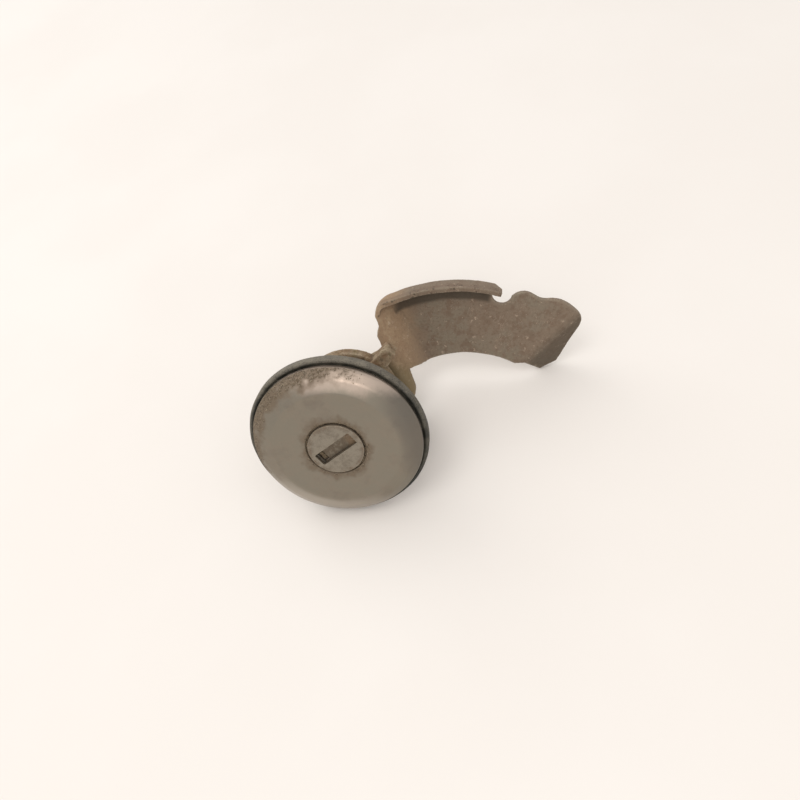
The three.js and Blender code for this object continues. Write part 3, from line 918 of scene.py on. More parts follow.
@dataclass(frozen=True)
class CorrodedCasting:
    """Die-cast zinc gone brown and olive, with white oxide and crumbs."""

    seed: float = 30.0
    metal: Colour = (0.30, 0.235, 0.155)
    brown: Colour = (0.21, 0.135, 0.075)
    olive: Colour = (0.20, 0.165, 0.08)
    dark: Colour = (0.05, 0.037, 0.023)
    oxide: Colour = (0.47, 0.385, 0.275)
    rust: Colour = (0.29, 0.155, 0.075)

    def material(self, frame: LockFrame) -> bpy.types.Material:
        """Build the material.

        Args:
            frame: The lock's frame.

        Returns:
            The material.
        """
        g = Graph("corroded_casting", frame)
        broad = g.noise(4.5, 4, 0.6, self.seed)
        patch = g.noise(1.4, 5, 0.7, self.seed + 1)
        crumb = g.noise(0.32, 5, 0.75, self.seed + 2)
        fleck = g.cells(0.75, self.seed + 3).ramp(0.34, 0.2) * patch.ramp(0.46, 0.6)
        worn = g.attribute("worn")
        sunk = g.attribute("sunk")
        colour = g.layers(
            self.metal,
            [
                (broad.ramp(0.4, 0.6), self.brown),
                (patch.ramp(0.5, 0.66) * 0.7, self.olive),
                ((patch * 0.5 + crumb * 0.5).ramp(0.56, 0.66) * 0.8, self.rust),
                (crumb.ramp(0.44, 0.32) * 0.75, self.dark),
                (sunk * 0.8, self.dark),
                (worn * crumb.ramp(0.42, 0.62) * 0.75, self.oxide),
                (fleck * 0.7, self.oxide),
            ],
        )
        height = crumb * 0.8 + patch * 0.7 + fleck * 0.5
        return g.surface(
            Base_Color=colour,
            Metallic=(broad.ramp(0.6, 0.3) * 0.35).larger(0.02),
            Roughness=(crumb * 0.25 + 0.62 - worn * 0.15).ramp(0, 1, 0, 1),
            Normal=g.bump(height, 0.16, 1.0),
        )


@dataclass(frozen=True)
class RustyLever:
    """Pressed steel whose plating has gone brown-grey, with pale flecks, scratches and rust.

    Args:
        neck_azimuth: Direction of the joggle, in degrees.
        neck_reach: Distance along it where the rusted neck ends.
    """

    neck_azimuth: float = 24.0
    neck_reach: float = 15.0
    plate: Colour = (0.214, 0.160, 0.114)
    grey: Colour = (0.214, 0.182, 0.134)
    brown: Colour = (0.172, 0.116, 0.078)
    # dark also paints the shade past the end fold and the shadow below the flange.
    dark: Colour = (0.068, 0.051, 0.034)
    neck: Colour = (0.310, 0.205, 0.122)
    tan: Colour = (0.375, 0.277, 0.175)
    # Olive tarnish near the plug, darkened as painted shade.
    hub_tarnish_and_shade: Colour = (0.195, 0.150, 0.075)
    fleck: Colour = (0.551, 0.437, 0.332)
    edge: Colour = (0.315, 0.270, 0.206)

    def flecks(self, g: Graph) -> Value:
        """Draw pale flecks of two sizes and thin curved scratches.

        Args:
            g: The material's graph.

        Returns:
            Where they show.
        """
        patch = g.noise(5.0, 3, 0.6, 45.0)
        grain = g.noise(0.3, 3, 0.65, 48.0)
        ragged = g.noise(0.5, 4, 0.7, 50.0)
        large = (g.cells(2.0, 43.0) + ragged * 1.5).ramp(1.0, 0.82) * patch.ramp(0.34, 0.52)
        small = (g.cells(0.9, 44.0) + ragged * 1.3).ramp(0.86, 0.7) * patch.ramp(0.64, 0.44)
        bend = g.stretched((0.9, 0.3, 1), 14)
        line = g.noise(1.0, 3, 0.6, 46.0, bend, 1.2).distance_to(0.5).ramp(0.014, 0.004)
        lines = line * g.noise(3.2, 3, 0.6, 47.0).ramp(0.54, 0.62)
        return (large * 0.8).larger(small * 0.55).larger(lines * 0.6) * grain.ramp(0.32, 0.52)

    def zones(self, g: Graph, patch: Value) -> tuple[Value, Value, Value, Value]:
        """Draw the lever's zones: its rusted neck, olive tarnish with painted shade near the plug, painted
        shade past the end fold and the painted shadow below the flange.

        Args:
            g: The material's graph.
            patch: Noise that breaks their borders up.

        Returns:
            The neck, the olive tarnish and painted shade near the plug, the painted shade past the end fold
            and the painted shadow below the flange.
        """
        turn = math.radians(self.neck_azimuth)
        along = g.x * math.cos(turn) + g.y * math.sin(turn) + (patch - 0.5) * 5.0
        neck = along.ramp(self.neck_reach + 7.0, self.neck_reach)
        # Near the plug: olive tarnish and painted shade.
        hub_tarnish_and_shade = (g.x * 0.4 + g.y * 0.9 + (patch - 0.5) * 4.0).ramp(14.0, 10.0)
        # Painted shade: the lever darker past its end fold.
        painted_tip_shade = (g.x * 0.853 - g.y * 0.522 - 33.9 + (patch - 0.5) * 2.0).ramp(-2.6, 1.4)
        # Painted shadow that the flange casts on the blade below it.
        across, up = g.x - 30.65, g.y + 9.66
        from_edge = 42.1 - (across * across + up * up).sqrt()
        painted_flange_shadow = (from_edge + (patch - 0.5) * 1.2).ramp(5.7, 4.5) * g.x.ramp(33.0, 31.5)
        painted_flange_shadow = painted_flange_shadow * from_edge.ramp(1.2, 1.6) * (g.z + 36.5).ramp(0.0, 0.3)
        painted_flange_shadow = painted_flange_shadow * (g.z + 35.2).ramp(0.9, 0.2) * g.x.ramp(6.0, 9.0)
        return neck, hub_tarnish_and_shade, painted_tip_shade, painted_flange_shadow

    def material(self, frame: LockFrame) -> bpy.types.Material:
        """Build the material.

        Args:
            frame: The lock's frame.

        Returns:
            The material.
        """
        g = Graph("rusty_lever", frame)
        broad = g.noise(8.0, 3, 0.55, 40.0)
        patch = g.noise(2.1, 5, 0.68, 41.0)
        grain = g.noise(0.42, 5, 0.72, 42.0)
        neck, hub_tarnish_and_shade, painted_tip_shade, painted_flange_shadow = self.zones(g, patch)
        flecks = self.flecks(g)
        worn = g.attribute("worn")
        sunk = g.attribute("sunk")
        flange = (g.z + 34.4).ramp(0.0, 1.2) * g.y.ramp(22, 24)
        pits = (g.cells(0.8, 49.0) + grain * 0.4).ramp(0.62, 0.48) * patch.ramp(0.44, 0.56)
        colour = g.layers(
            self.plate,
            [
                (broad.ramp(0.4, 0.62) * 0.7, self.grey),
                (patch.ramp(0.46, 0.62) * 0.7, self.brown),
                (grain.ramp(0.46, 0.34) * 0.45, self.dark),
                (neck * 0.85, self.neck),
                (neck * patch.ramp(0.46, 0.6) * 0.7, self.tan),
                (neck * grain.ramp(0.56, 0.64) * 0.5, self.brown),
                # Olive tarnish and painted shade near the plug.
                (hub_tarnish_and_shade * 0.8, self.hub_tarnish_and_shade),
                (flange * 0.5, self.brown),
                (flange * pits * 0.85, self.dark),
                # Painted shade past the end fold.
                (painted_tip_shade * 0.68, self.dark),
                # Painted shadow below the flange.
                (painted_flange_shadow * 0.9, self.dark),
                (sunk * 0.8, self.dark),
                (worn * grain.ramp(0.36, 0.6) * 0.6, self.edge),
                (flecks * (1 - painted_flange_shadow) * (1 - hub_tarnish_and_shade * 0.7) * (1 - painted_tip_shade * 0.6) * 0.72, self.fleck),
            ],
        )
        height = grain * 0.7 + patch * 0.5 + flecks * 0.5 - pits * flange * 1.2
        return g.surface(
            Base_Color=colour,
            Metallic=(0.3 - neck * 0.2 - flecks * 0.1).larger(0.03),
            Roughness=(grain * 0.2 + patch * 0.12 + 0.45 + neck * 0.12).ramp(0, 1, 0, 1),
            Normal=g.bump(height, 0.1, 0.9),
        )


@dataclass(frozen=True)
class DullMetal:
    """A small hidden piece's metal: one tint with tarnish and fine scratches.

    Args:
        name: The material's name.
        metal: The clean tint.
        tarnish: The tint of its tarnish.
        rough: Its middle roughness.
        amount: How much of it is tarnished.
        seed: Which pattern.
    """

    name: str
    metal: Colour
    tarnish: Colour
    rough: float
    amount: float
    seed: float

    def material(self, frame: LockFrame) -> bpy.types.Material:
        """Build the material.

        Args:
            frame: The lock's frame.

        Returns:
            The material.
        """
        g = Graph(self.name, frame)
        patch = g.noise(1.6, 4, 0.65, self.seed)
        grain = g.noise(0.3, 4, 0.7, self.seed + 1)
        line = g.noise(1.0, 2, 0.5, self.seed + 2, g.stretched((0.3, 7, 2), 20)).ramp(0.6, 0.66)
        mask = (patch * 0.6 + grain * 0.4).ramp(0.6 - self.amount * 0.25, 0.68)
        return g.surface(
            Base_Color=g.layers(self.metal, [(mask * 0.9, self.tarnish)]),
            Metallic=(1 - mask * 0.75).larger(0.1),
            Roughness=(grain * 0.2 + mask * 0.25 + self.rough - 0.1).ramp(0, 1, 0, 1),
            Normal=g.bump(grain * 0.6 + mask * 0.5 - line * 0.3, 0.04, 0.7),
        )


@dataclass(frozen=True)
class FlapSteel:
    """The shutter's steel: dull and brown, rusted at the end of the slot that water runs to.

    Args:
        rust_azimuth: Direction of the rusted end, in degrees.
    """

    rust_azimuth: float = 49.6
    metal: Colour = (0.20, 0.17, 0.13)
    brown: Colour = (0.13, 0.098, 0.066)
    rust: Colour = (0.155, 0.098, 0.05)
    pale: Colour = (0.33, 0.28, 0.21)

    def material(self, frame: LockFrame) -> bpy.types.Material:
        """Build the material.

        Args:
            frame: The lock's frame.

        Returns:
            The material.
        """
        g = Graph("flap_steel", frame)
        patch = g.noise(1.1, 4, 0.65, 71.0)
        pit = g.noise(0.28, 4, 0.7, 72.0)
        turn = math.radians(self.rust_azimuth)
        along = g.x * math.cos(turn) + g.y * math.sin(turn)
        rusty = (along + patch * 2).ramp(3.4, 5.2)
        brown = patch.ramp(0.42, 0.6) * 0.8
        colour = g.layers(
            self.metal,
            [
                (brown, self.brown),
                (g.attribute("worn") * pit.ramp(0.4, 0.6) * 0.7, self.pale),
                (rusty * pit.ramp(0.3, 0.55), self.rust),
            ],
        )
        return g.surface(
            Base_Color=colour,
            Metallic=(0.8 - rusty * 0.6 - brown * 0.3).larger(0.05),
            Roughness=(pit * 0.2 + brown * 0.15 + 0.38).ramp(0, 1, 0, 1),
            Normal=g.bump(pit * 0.7 + patch * 0.4, 0.06, 0.9),
        )


@dataclass(frozen=True)
class DriedDirt:
    """Dried dirt and grit, brown with pale and dark grains."""

    brown: Colour = (0.12, 0.085, 0.05)
    dark: Colour = (0.045, 0.032, 0.019)
    pale: Colour = (0.33, 0.27, 0.185)

    def material(self, frame: LockFrame) -> bpy.types.Material:
        """Build the material.

        Args:
            frame: The lock's frame.

        Returns:
            The material.
        """
        g = Graph("dried_dirt", frame)
        patch = g.noise(0.6, 4, 0.65, 75.0)
        grain = g.noise(0.16, 3, 0.6, 76.0)
        return g.surface(
            Base_Color=g.layers(
                self.brown,
                [(patch.ramp(0.5, 0.6) * 0.85, self.dark), (grain.ramp(0.52, 0.6) * 0.8, self.pale)],
            ),
            Roughness=(grain * 0.2 + 0.72).ramp(0, 1, 0, 1),
            Normal=g.bump(grain + patch * 0.5, 0.05, 0.9),
        )


@dataclass(frozen=True)
class BenchTop:
    """A plain pale bench."""

    pale: Colour = (0.83, 0.80, 0.77)
    warm: Colour = (0.80, 0.765, 0.73)

    def material(self, frame: LockFrame) -> bpy.types.Material:
        """Build the material.

        Args:
            frame: The lock's frame.

        Returns:
            The material.
        """
        g = Graph("bench_top", frame)
        cloud = g.noise(60.0, 3, 0.5, 90.0)
        return g.surface(
            Base_Color=g.mix(cloud.ramp(0.35, 0.65) * 0.5, self.pale, self.warm),
            Roughness=(cloud * 0.1 + 0.5).ramp(0, 1, 0, 1),
            Normal=g.bump(g.noise(0.8, 3, 0.5, 91.0), 0.01, 0.2),
        )


@dataclass
class Finishes:
    """Every finish of the object, built once."""

    frame: LockFrame
    made: dict[str, bpy.types.Material] = field(default_factory=dict)

    def build(self) -> None:
        """Build the materials."""
        steel = DullMetal("spring_steel", (0.23, 0.205, 0.17), (0.13, 0.082, 0.047), 0.42, 0.9, 60.0)
        zinc = DullMetal("plug_zinc", (0.33, 0.30, 0.255), (0.13, 0.10, 0.065), 0.5, 0.7, 63.0)
        brass = DullMetal("dull_brass", (0.48, 0.35, 0.15), (0.17, 0.12, 0.06), 0.4, 0.5, 66.0)
        recipes = {
            "cap": SatinStainless(),
            "cover": PlugCoverSteel(),
            "rubber": AgedRubber(),
            "casting": CorrodedCasting(),
            "lever": RustyLever(),
            "steel": steel,
            "zinc": zinc,
            "brass": brass,
            "grit": DriedDirt(),
            "flap": FlapSteel(),
            "bench": BenchTop(),
        }
        self.made = {name: recipe.material(self.frame) for name, recipe in recipes.items()}

    def dress(self, piece: bpy.types.Object, finish: str) -> None:
        """Give a piece one finish.

        Args:
            piece: The piece.
            finish: The finish's short name.
        """
        piece.data.materials.clear()
        piece.data.materials.append(self.made[finish])


# ---- Geometry Nodes -------------------------------------------------------------------------


class NodeTree:
    """A Geometry Nodes tree with named inputs and one way to add a node."""

    def __init__(self, name: str) -> None:
        """Start a tree that takes and gives geometry.

        Args:
            name: The tree's name.
        """
        self.tree = bpy.data.node_groups.new(name, "GeometryNodeTree")
        self.tree.interface.new_socket("Geometry", in_out="INPUT", socket_type="NodeSocketGeometry")
        self.tree.interface.new_socket("Geometry", in_out="OUTPUT", socket_type="NodeSocketGeometry")
        self.inputs = self.tree.nodes.new("NodeGroupInput")
        self.output = self.tree.nodes.new("NodeGroupOutput")

    def size(self, name: str, value: float | int) -> None:
        """Add a named input.

        Args:
            name: Its name.
            value: Its first value; a whole number makes a whole-number socket.
        """
        kind = "NodeSocketInt" if isinstance(value, int) else "NodeSocketFloat"
        socket = self.tree.interface.new_socket(name, in_out="INPUT", socket_type=kind)
        socket.default_value = value

    def node(
        self, kind: str, settings: dict | None = None, inputs: dict | None = None
    ) -> bpy.types.Node:
        """Add a node, set it up and feed it.

        Args:
            kind: Its full type.
            settings: Properties, set first.
            inputs: Values, links, or names of the tree's own inputs, by socket.

        Returns:
            The node.
        """
        node = self.tree.nodes.new(kind)
        for key, value in (settings or {}).items():
            setattr(node, key, value)
        for key, value in (inputs or {}).items():
            if isinstance(value, str):
                value = self.inputs.outputs[value]
            if isinstance(value, bpy.types.NodeSocket):
                self.tree.links.new(value, node.inputs[key])
            else:
                node.inputs[key].default_value = value
        return node

    def close(self, geometry: bpy.types.NodeSocket, material: bpy.types.Material) -> None:
        """End the tree in Realize Instances and Set Material.

        Args:
            geometry: The geometry to give out.
            material: Its finish.
        """
        real = self.node("GeometryNodeRealizeInstances", None, {0: geometry})
        dressed = self.node(
            "GeometryNodeSetMaterial", None, {"Geometry": real.outputs[0], "Material": material}
        )
        self.tree.links.new(dressed.outputs[0], self.output.inputs[0])

    def run(self, piece: bpy.types.Object, **sizes: float) -> bpy.types.Object:
        """Run the tree on an object.

        Args:
            piece: The object that carries the modifier.
            **sizes: The tree's inputs by name, with underscores for spaces.

        Returns:
            The plain mesh that comes out.
        """
        modifier = piece.modifiers.new("build", "NODES")
        modifier.node_group = self.tree
        sockets = {s.name: s.identifier for s in self.tree.interface.items_tree if s.in_out == "INPUT"}
        for name, value in sizes.items():
            modifier[sockets[name.replace("_", " ")]] = value
        return settle(piece)


def coil_tree(material: bpy.types.Material) -> NodeTree:
    """Build the tree that winds a coil spring along Z.

    Args:
        material: The spring's finish.

    Returns:
        The tree, whose sizes are in millimetres.
    """
    tree = NodeTree("coil_spring")
    tree.size("Radius", 0.55)
    tree.size("Length", 3.4)
    tree.size("Turns", 5.0)
    tree.size("Wire Radius", 0.14)
    tree.size("Steps", 14)
    spiral = tree.node(
        "GeometryNodeCurveSpiral",
        None,
        {
            "Resolution": "Steps", "Rotations": "Turns", "Start Radius": "Radius",
            "End Radius": "Radius", "Height": "Length",
        },
    )
    wire = tree.node(
        "GeometryNodeCurvePrimitiveCircle", None, {"Resolution": 8, "Radius": "Wire Radius"}
    )
    swept = tree.node(
        "GeometryNodeCurveToMesh",
        None,
        {"Curve": spiral.outputs[0], "Profile Curve": wire.outputs[0], "Fill Caps": True},
    )
    smooth = tree.node("GeometryNodeSetShadeSmooth", None, {0: swept.outputs[0]})
    tree.close(smooth.outputs[0], material)
    return tree


def crumb_tree(material: bpy.types.Material) -> NodeTree:
    """Build the tree that scatters crumbs over a skin, thickest where its stored crust is.

    Args:
        material: The crumbs' finish.

    Returns:
        The tree, whose sizes are in millimetres.
    """
    tree = NodeTree("corrosion_crumbs")
    tree.size("Density", 1.0)
    tree.size("Crumb Size", 0.2)
    tree.size("Seed", 7)
    crust = tree.node("GeometryNodeInputNamedAttribute", {"data_type": "FLOAT"})
    crust.inputs["Name"].default_value = "crust"
    density = tree.node(
        "ShaderNodeMath", {"operation": "MULTIPLY"}, {0: crust.outputs[0], 1: "Density"}
    )
    points = tree.node(
        "GeometryNodeDistributePointsOnFaces",
        None,
        {"Mesh": "Geometry", "Density": density.outputs[0], "Seed": "Seed"},
    )
    crumb = tree.node(
        "GeometryNodeMeshIcoSphere", None, {"Radius": "Crumb Size", "Subdivisions": 1}
    )
    scale = tree.node(
        "FunctionNodeRandomValue",
        {"data_type": "FLOAT_VECTOR"},
        {0: (0.35, 0.35, 0.15), 1: (1.0, 1.0, 0.5), "Seed": "Seed"},
    )
    spread = tree.node(
        "GeometryNodeInstanceOnPoints",
        None,
        {
            "Points": points.outputs["Points"], "Instance": crumb.outputs[0],
            "Rotation": points.outputs["Rotation"], "Scale": scale.outputs[0],
        },
    )
    tree.close(spread.outputs[0], material)
    return tree


# ---- Workshop -------------------------------------------------------------------------------


@dataclass
class Workshop:
    """What every sub-assembly needs: the frame, the CAD nodes and the finishes."""

    frame: LockFrame
    nodes: dict[str, bpy.types.Object]
    finishes: Finishes

    def copy_of(self, node: str, name: str) -> bpy.types.Object:
        """Copy a CAD node's solid into lock millimetres, with its corners merged.

        Args:
            node: The node.
            name: The new piece's name.

        Returns:
            The copy.
        """
        mesh = self.nodes[node].data.copy()
        mesh.name = name
        mesh.materials.clear()
        mesh.transform(self.frame.to_row.inverted())
        piece = bpy.data.objects.new(name, mesh)
        bpy.context.scene.collection.objects.link(piece)
        return merged(piece, 1e-4)

    def crumbs(
        self, piece: bpy.types.Object, name: str, tree: NodeTree, density: float, size: float
    ) -> bpy.types.Object:
        """Scatter crumbs where a piece stores crust.

        Args:
            piece: The piece in lock millimetres; it is left as it is.
            name: The crumbs' name.
            tree: The scattering tree.
            density: Most crumbs on a square millimetre.
            size: Radius of the largest crumb.

        Returns:
            The crumbs.
        """
        skin = bpy.data.objects.new(name, piece.data.copy())
        bpy.context.scene.collection.objects.link(skin)
        work = bmesh.new()
        work.from_mesh(skin.data)
        crust = work.verts.layers.float["crust"]
        bare = [f for f in work.faces if max(v[crust] for v in f.verts) <= 0]
        bmesh.ops.delete(work, geom=bare, context="FACES")
        work.to_mesh(skin.data)
        work.free()
        return tree.run(skin, Density=density, Crumb_Size=size, Seed=7)

    def deliver(
        self,
        piece: bpy.types.Object,
        finish: str,
        body: Body | None,
        stands_for: Sequence[str] = (),
        in_key_frame: bool = False,
        smooth: bool = True,
    ) -> bpy.types.Object:
        """Put a finished piece in its place and tie it to its body.

        Args:
            piece: The piece in lock millimetres.
            finish: The finish's short name.
            body: The body it rides on, or None for a piece that is blended between two bodies later.
            stands_for: The CAD nodes it replaces.
            in_key_frame: Whether it was built in the plug's own frame.
            smooth: Whether its faces are shaded smooth.

        Returns:
            The piece.
        """
        if in_key_frame:
            piece.data.transform(self.frame.key_to_lock)
        piece.data.transform(self.frame.to_row)
        if smooth:
            piece.data.shade_smooth()
        self.finishes.dress(piece, finish)
        if body:
            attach(piece, body.value)
        if stands_for:
            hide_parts(*stands_for)
        LOG.info("%s: %d faces on %s", piece.name, len(piece.data.polygons), body)
        return piece


# ---- Sub-assemblies -------------------------------------------------------------------------


@dataclass
class FaceCap:
    """The pressed cap and the rubber ring behind it."""

    radius: float = 21.0
    sheet: float = 0.7
    ridge_radius: float = 15.7
    ridge_height: float = 3.1
    face_height: float = 2.9
    opening: float = 7.4
    shoulder: float = 0.35
    skirt: float = -1.1
    dirty_azimuth: float = 150.0
    grit_per_mm2: float = 6.0
    grit_size: float = 0.2
    gasket_radius: float = 22.3
    gasket_hole: float = 13.3
    gasket_front: float = -1.4
    gasket_back: float = -3.8

    def cap(self, shop: Workshop) -> bpy.types.Object:
        """Press the cap.

        Args:
            shop: The workshop.

        Returns:
            The cap.
        """
        inner = self.radius - self.sheet
        under = self.ridge_height - self.sheet
        profile = rounded(
            [
                (self.opening, self.face_height - self.sheet - 0.35, 0.1),
                (self.opening + 0.45, self.face_height - self.sheet, 0.3),
                (self.ridge_radius - 0.3, under, 1.2),
                (inner, self.shoulder - 0.75, 0.5),
                (inner, self.skirt, 0.15),
                (self.radius, self.skirt, 0.25),
                (self.radius, self.shoulder + 0.05, 1.0),
                (self.radius - 2.2, self.shoulder + 1.72, 3.0),
                (self.ridge_radius, self.ridge_height + 0.04, 1.4),
                (self.ridge_radius - 2.2, self.ridge_height - 0.16, 2.0),
                (self.opening, self.face_height, 0.45),
            ],
            8,
        )
        piece = turned("pressed_cap", subdivided(profile, 0.3), 260)
        Pitting(0.04, 6.5, 0.012, 0.9, 3.1).press(piece)
        self.soil(piece)
        tree = crumb_tree(shop.finishes.made["grit"])
        grit = shop.crumbs(piece, "cap_grit", tree, self.grit_per_mm2, self.grit_size)
        shop.deliver(grit, "grit", Body.CASE, smooth=False)
        return shop.deliver(piece, "cap", Body.CASE, ["face_cap"])

    def soil(self, piece: bpy.types.Object) -> None:
        """Store where the front of the cap is stained and where grit has dried on.

        Args:
            piece: The cap in lock millimetres.
        """
        points = coordinates(piece.data)
        radius = np.hypot(points[:, 0], points[:, 1])
        turn = math.radians(self.dirty_azimuth)
        towards = (points[:, 0] * math.cos(turn) + points[:, 1] * math.sin(turn)) / radius
        side = np.clip((towards - 0.25) / 0.6, 0, 1)
        broad, fine = clouds(points, 3.2, 2.3), clouds(points, 0.6, 9.1, 4)
        rim = np.clip((radius - self.radius + 4.6 + 1.8 * broad) / 4.0, 0, 1)
        ring = np.clip((self.opening + 2.9 + 1.3 * broad - radius) / 2.4, 0, 1)
        stain = np.maximum(rim * (side + 0.12), ring * 0.8)
        edge = np.clip((radius - self.radius + 2.3 + 1.5 * broad) / 1.6, 0, 1) * side
        lip = np.clip((self.opening + 0.7 + 0.6 * broad - radius) / 0.5, 0, 1)
        lip *= radius > self.opening + 0.25
        crust = np.maximum(edge, lip * 0.9) * np.clip(0.62 + 1.5 * fine, 0, 1)
        front = points[:, 2] > 0.1
        store(piece.data, "stain", stain * front)
        store(piece.data, "crust", crust * front)

    def packed_dirt(self, shop: Workshop) -> None:
        """Press dirt into the gap round the plug.

        Args:
            shop: The workshop.
        """
        low, high = self.face_height - 1.0, self.face_height - 0.5
        inner, outer = self.opening - 0.36, self.opening + 0.03
        profile = rounded([(inner, low, 0), (outer, low, 0), (outer, high, 0.1), (inner, high, 0.1)], 3)
        piece = turned("packed_dirt", subdivided(profile, 0.12), 300)
        points = coordinates(piece.data)
        top = np.clip((points[:, 2] - low) / (high - low), 0, 1)
        points[:, 2] += top * np.clip(clouds(points, 0.9, 4.4), -1, 1) * 0.22
        piece.data.vertices.foreach_set("co", points.ravel())
        shop.deliver(piece, "grit", Body.CASE)

    def gasket(self, shop: Workshop) -> bpy.types.Object:
        """Mould the gasket, with a bead round its outer edge.

        Args:
            shop: The workshop.

        Returns:
            The gasket.
        """
        back, front, outer = self.gasket_back, self.gasket_front, self.gasket_radius
        profile = rounded(
            [
                (self.gasket_hole, back, 0.2),
                (outer - 2.4, back, 0.3),
                (outer - 1.9, back + 0.35, 0.3),
                (outer - 0.9, back, 0.5),
                (outer, back + 0.4, 0.6),
                (outer, front + 0.05, 0.6),
                (outer - 0.75, front + 0.3, 0.35),
                (outer - 1.3, front - 0.1, 0.3),
                (self.gasket_hole, front, 0.2),
            ],
            6,
        )
        piece = turned("moulded_gasket", subdivided(profile, 0.5), 200)
        Pitting(0.06, 5.0, 0.02, 0.8, 8.4).press(piece)
        return shop.deliver(piece, "rubber", Body.CASE, ["gasket"])

    def make(self, shop: Workshop) -> None:
        """Build the cap, its dirt and the gasket."""
        self.cap(shop)
        self.packed_dirt(shop)
        self.gasket(shop)


@dataclass
class Housing:
    """The die-cast housing with its rear ring, ribs and stop finger."""

    grain: float = 0.27
    bore: float = 9.8
    gasket_back: float = -4.6
    lever_front: float = -24.6
    crumb_size: float = 0.3
    crumbs_per_mm2: float = 1.3

    def make(self, shop: Workshop) -> None:
        """Cast the housing and grow corrosion on it.

        Args:
            shop: The workshop.
        """
        body = cast(shop.copy_of("housing", "cast_housing"), self.grain, 5)
        Pitting(0.32, 1.9, 0.18, 0.7, 5.5).press(body, self.open_air)
        points = coordinates(body.data)
        patches = clouds(points, 2.6, 6.6)
        store(body.data, "crust", self.open_air(points) * np.clip(patches * 2.2 + 0.25, 0, 1))
        mark_edges(body, 0.03)
        tree = crumb_tree(shop.finishes.made["casting"])
        crumbs = shop.crumbs(body, "housing_crumbs", tree, self.crumbs_per_mm2, self.crumb_size)
        shop.deliver(body, "casting", Body.CASE, ["housing"])
        shop.deliver(crumbs, "casting", Body.CASE, smooth=False)

    def open_air(self, points: np.ndarray) -> np.ndarray:
        """Tell how exposed places on the housing are.

        Args:
            points: Places on the housing.

        Returns:
            1 where the weather reaches, 0 in the bore and against the neighbours.
        """
        radius = np.hypot(points[:, 0], points[:, 1])
        outside = np.clip((radius - self.bore) / 0.8, 0, 1)
        behind_gasket = np.clip((self.gasket_back - points[:, 2]) / 0.6, 0, 1)
        before_lever = np.clip((points[:, 2] - self.lever_front) / 0.5, 0, 1)
        return outside * behind_gasket * before_lever


@dataclass
class PlugFront:
    """What shows of the plug from the front: its cover, the key slot and the shutter.

    ``heap_stock`` is the block that the slot's dirt is shaped from, and ``heap_room`` the room
    that the dirt keeps inside, each as two corners in the plug's own frame.
    """

    cover_radius: float = 6.95
    cover_low: float = 2.4
    cover_high: float = 3.2
    slot_length: float = 11.0
    slot_width: float = 3.3
    slot_corner: float = 0.3
    heap_stock: tuple[Corner, Corner] = ((-1.4, -5.2, -0.6), (1.15, -4.15, 1.6))
    heap_room: tuple[Corner, Corner] = ((-1.45, -5.22, -0.7), (1.2, -4.05, 1.9))

    def cover(self, shop: Workshop) -> bpy.types.Object:
        """Press the slotted cover.

        Args:
            shop: The workshop.

        Returns:
            The cover.
        """
        half_x, half_y = self.slot_width / 2, self.slot_length / 2
        signs = ((-1, -1), (1, -1), (1, 1), (-1, 1))
        slot = [(x * half_x, y * half_y, self.slot_corner) for x, y in signs]
        outlines = [circle(self.cover_radius, 128), rounded(slot, 4)]
        plate = flat_piece("slotted_cover", outlines, self.cover_low, self.cover_high, 0.12)
        plate = cast(plate, 0.09, 3)
        Pitting(0.03, 1.6, 0.03, 0.45, 9.0).press(plate)
        mark_edges(plate, 0.012)
        return shop.deliver(
            plate, "cover", Body.CORE, ["plug_cover"], in_key_frame=True
        )

    def silt(self, shop: Workshop) -> None:
        """Pack dried dirt in the end of the slot that the shutter leaves open.

        Args:
            shop: The workshop.
        """
        heap = cast(block("slot_silt", *self.heap_stock), 0.1, 3)
        Pitting(0.3, 0.8, 0.08, 0.3, 15.0).press(heap)
        points = np.clip(coordinates(heap.data), *self.heap_room)
        heap.data.vertices.foreach_set("co", points.ravel())
        shop.deliver(heap, "grit", Body.CORE, in_key_frame=True)

    def make(self, shop: Workshop) -> None:
        """Build the cover, the dirt in its slot and the shutter."""
        self.cover(shop)
        self.silt(shop)
        flap = cast(shop.copy_of("shutter", "dust_flap"), 0.09, 3)
        Pitting(0.03, 1.2, 0.04, 0.4, 12.0).press(flap)
        mark_edges(flap, 0.012)
        shop.deliver(flap, "flap", Body.FLAP, ["shutter"])


@dataclass
class Lever:
    """The folded lever arm."""

    grain: float = 0.21
    soften: int = 5

    def make(self, shop: Workshop) -> None:
        """Press the lever, wear its edges and pit its skin.

        Args:
            shop: The workshop.
        """
        arm = cast(shop.copy_of("lever_arm", "folded_lever"), self.grain, self.soften)
        Pitting(0.14, 5.5, 0.05, 0.7, 21.0).press(arm)
        mark_edges(arm, 0.02)
        shop.deliver(arm, "lever", Body.CORE, ["lever_arm"])


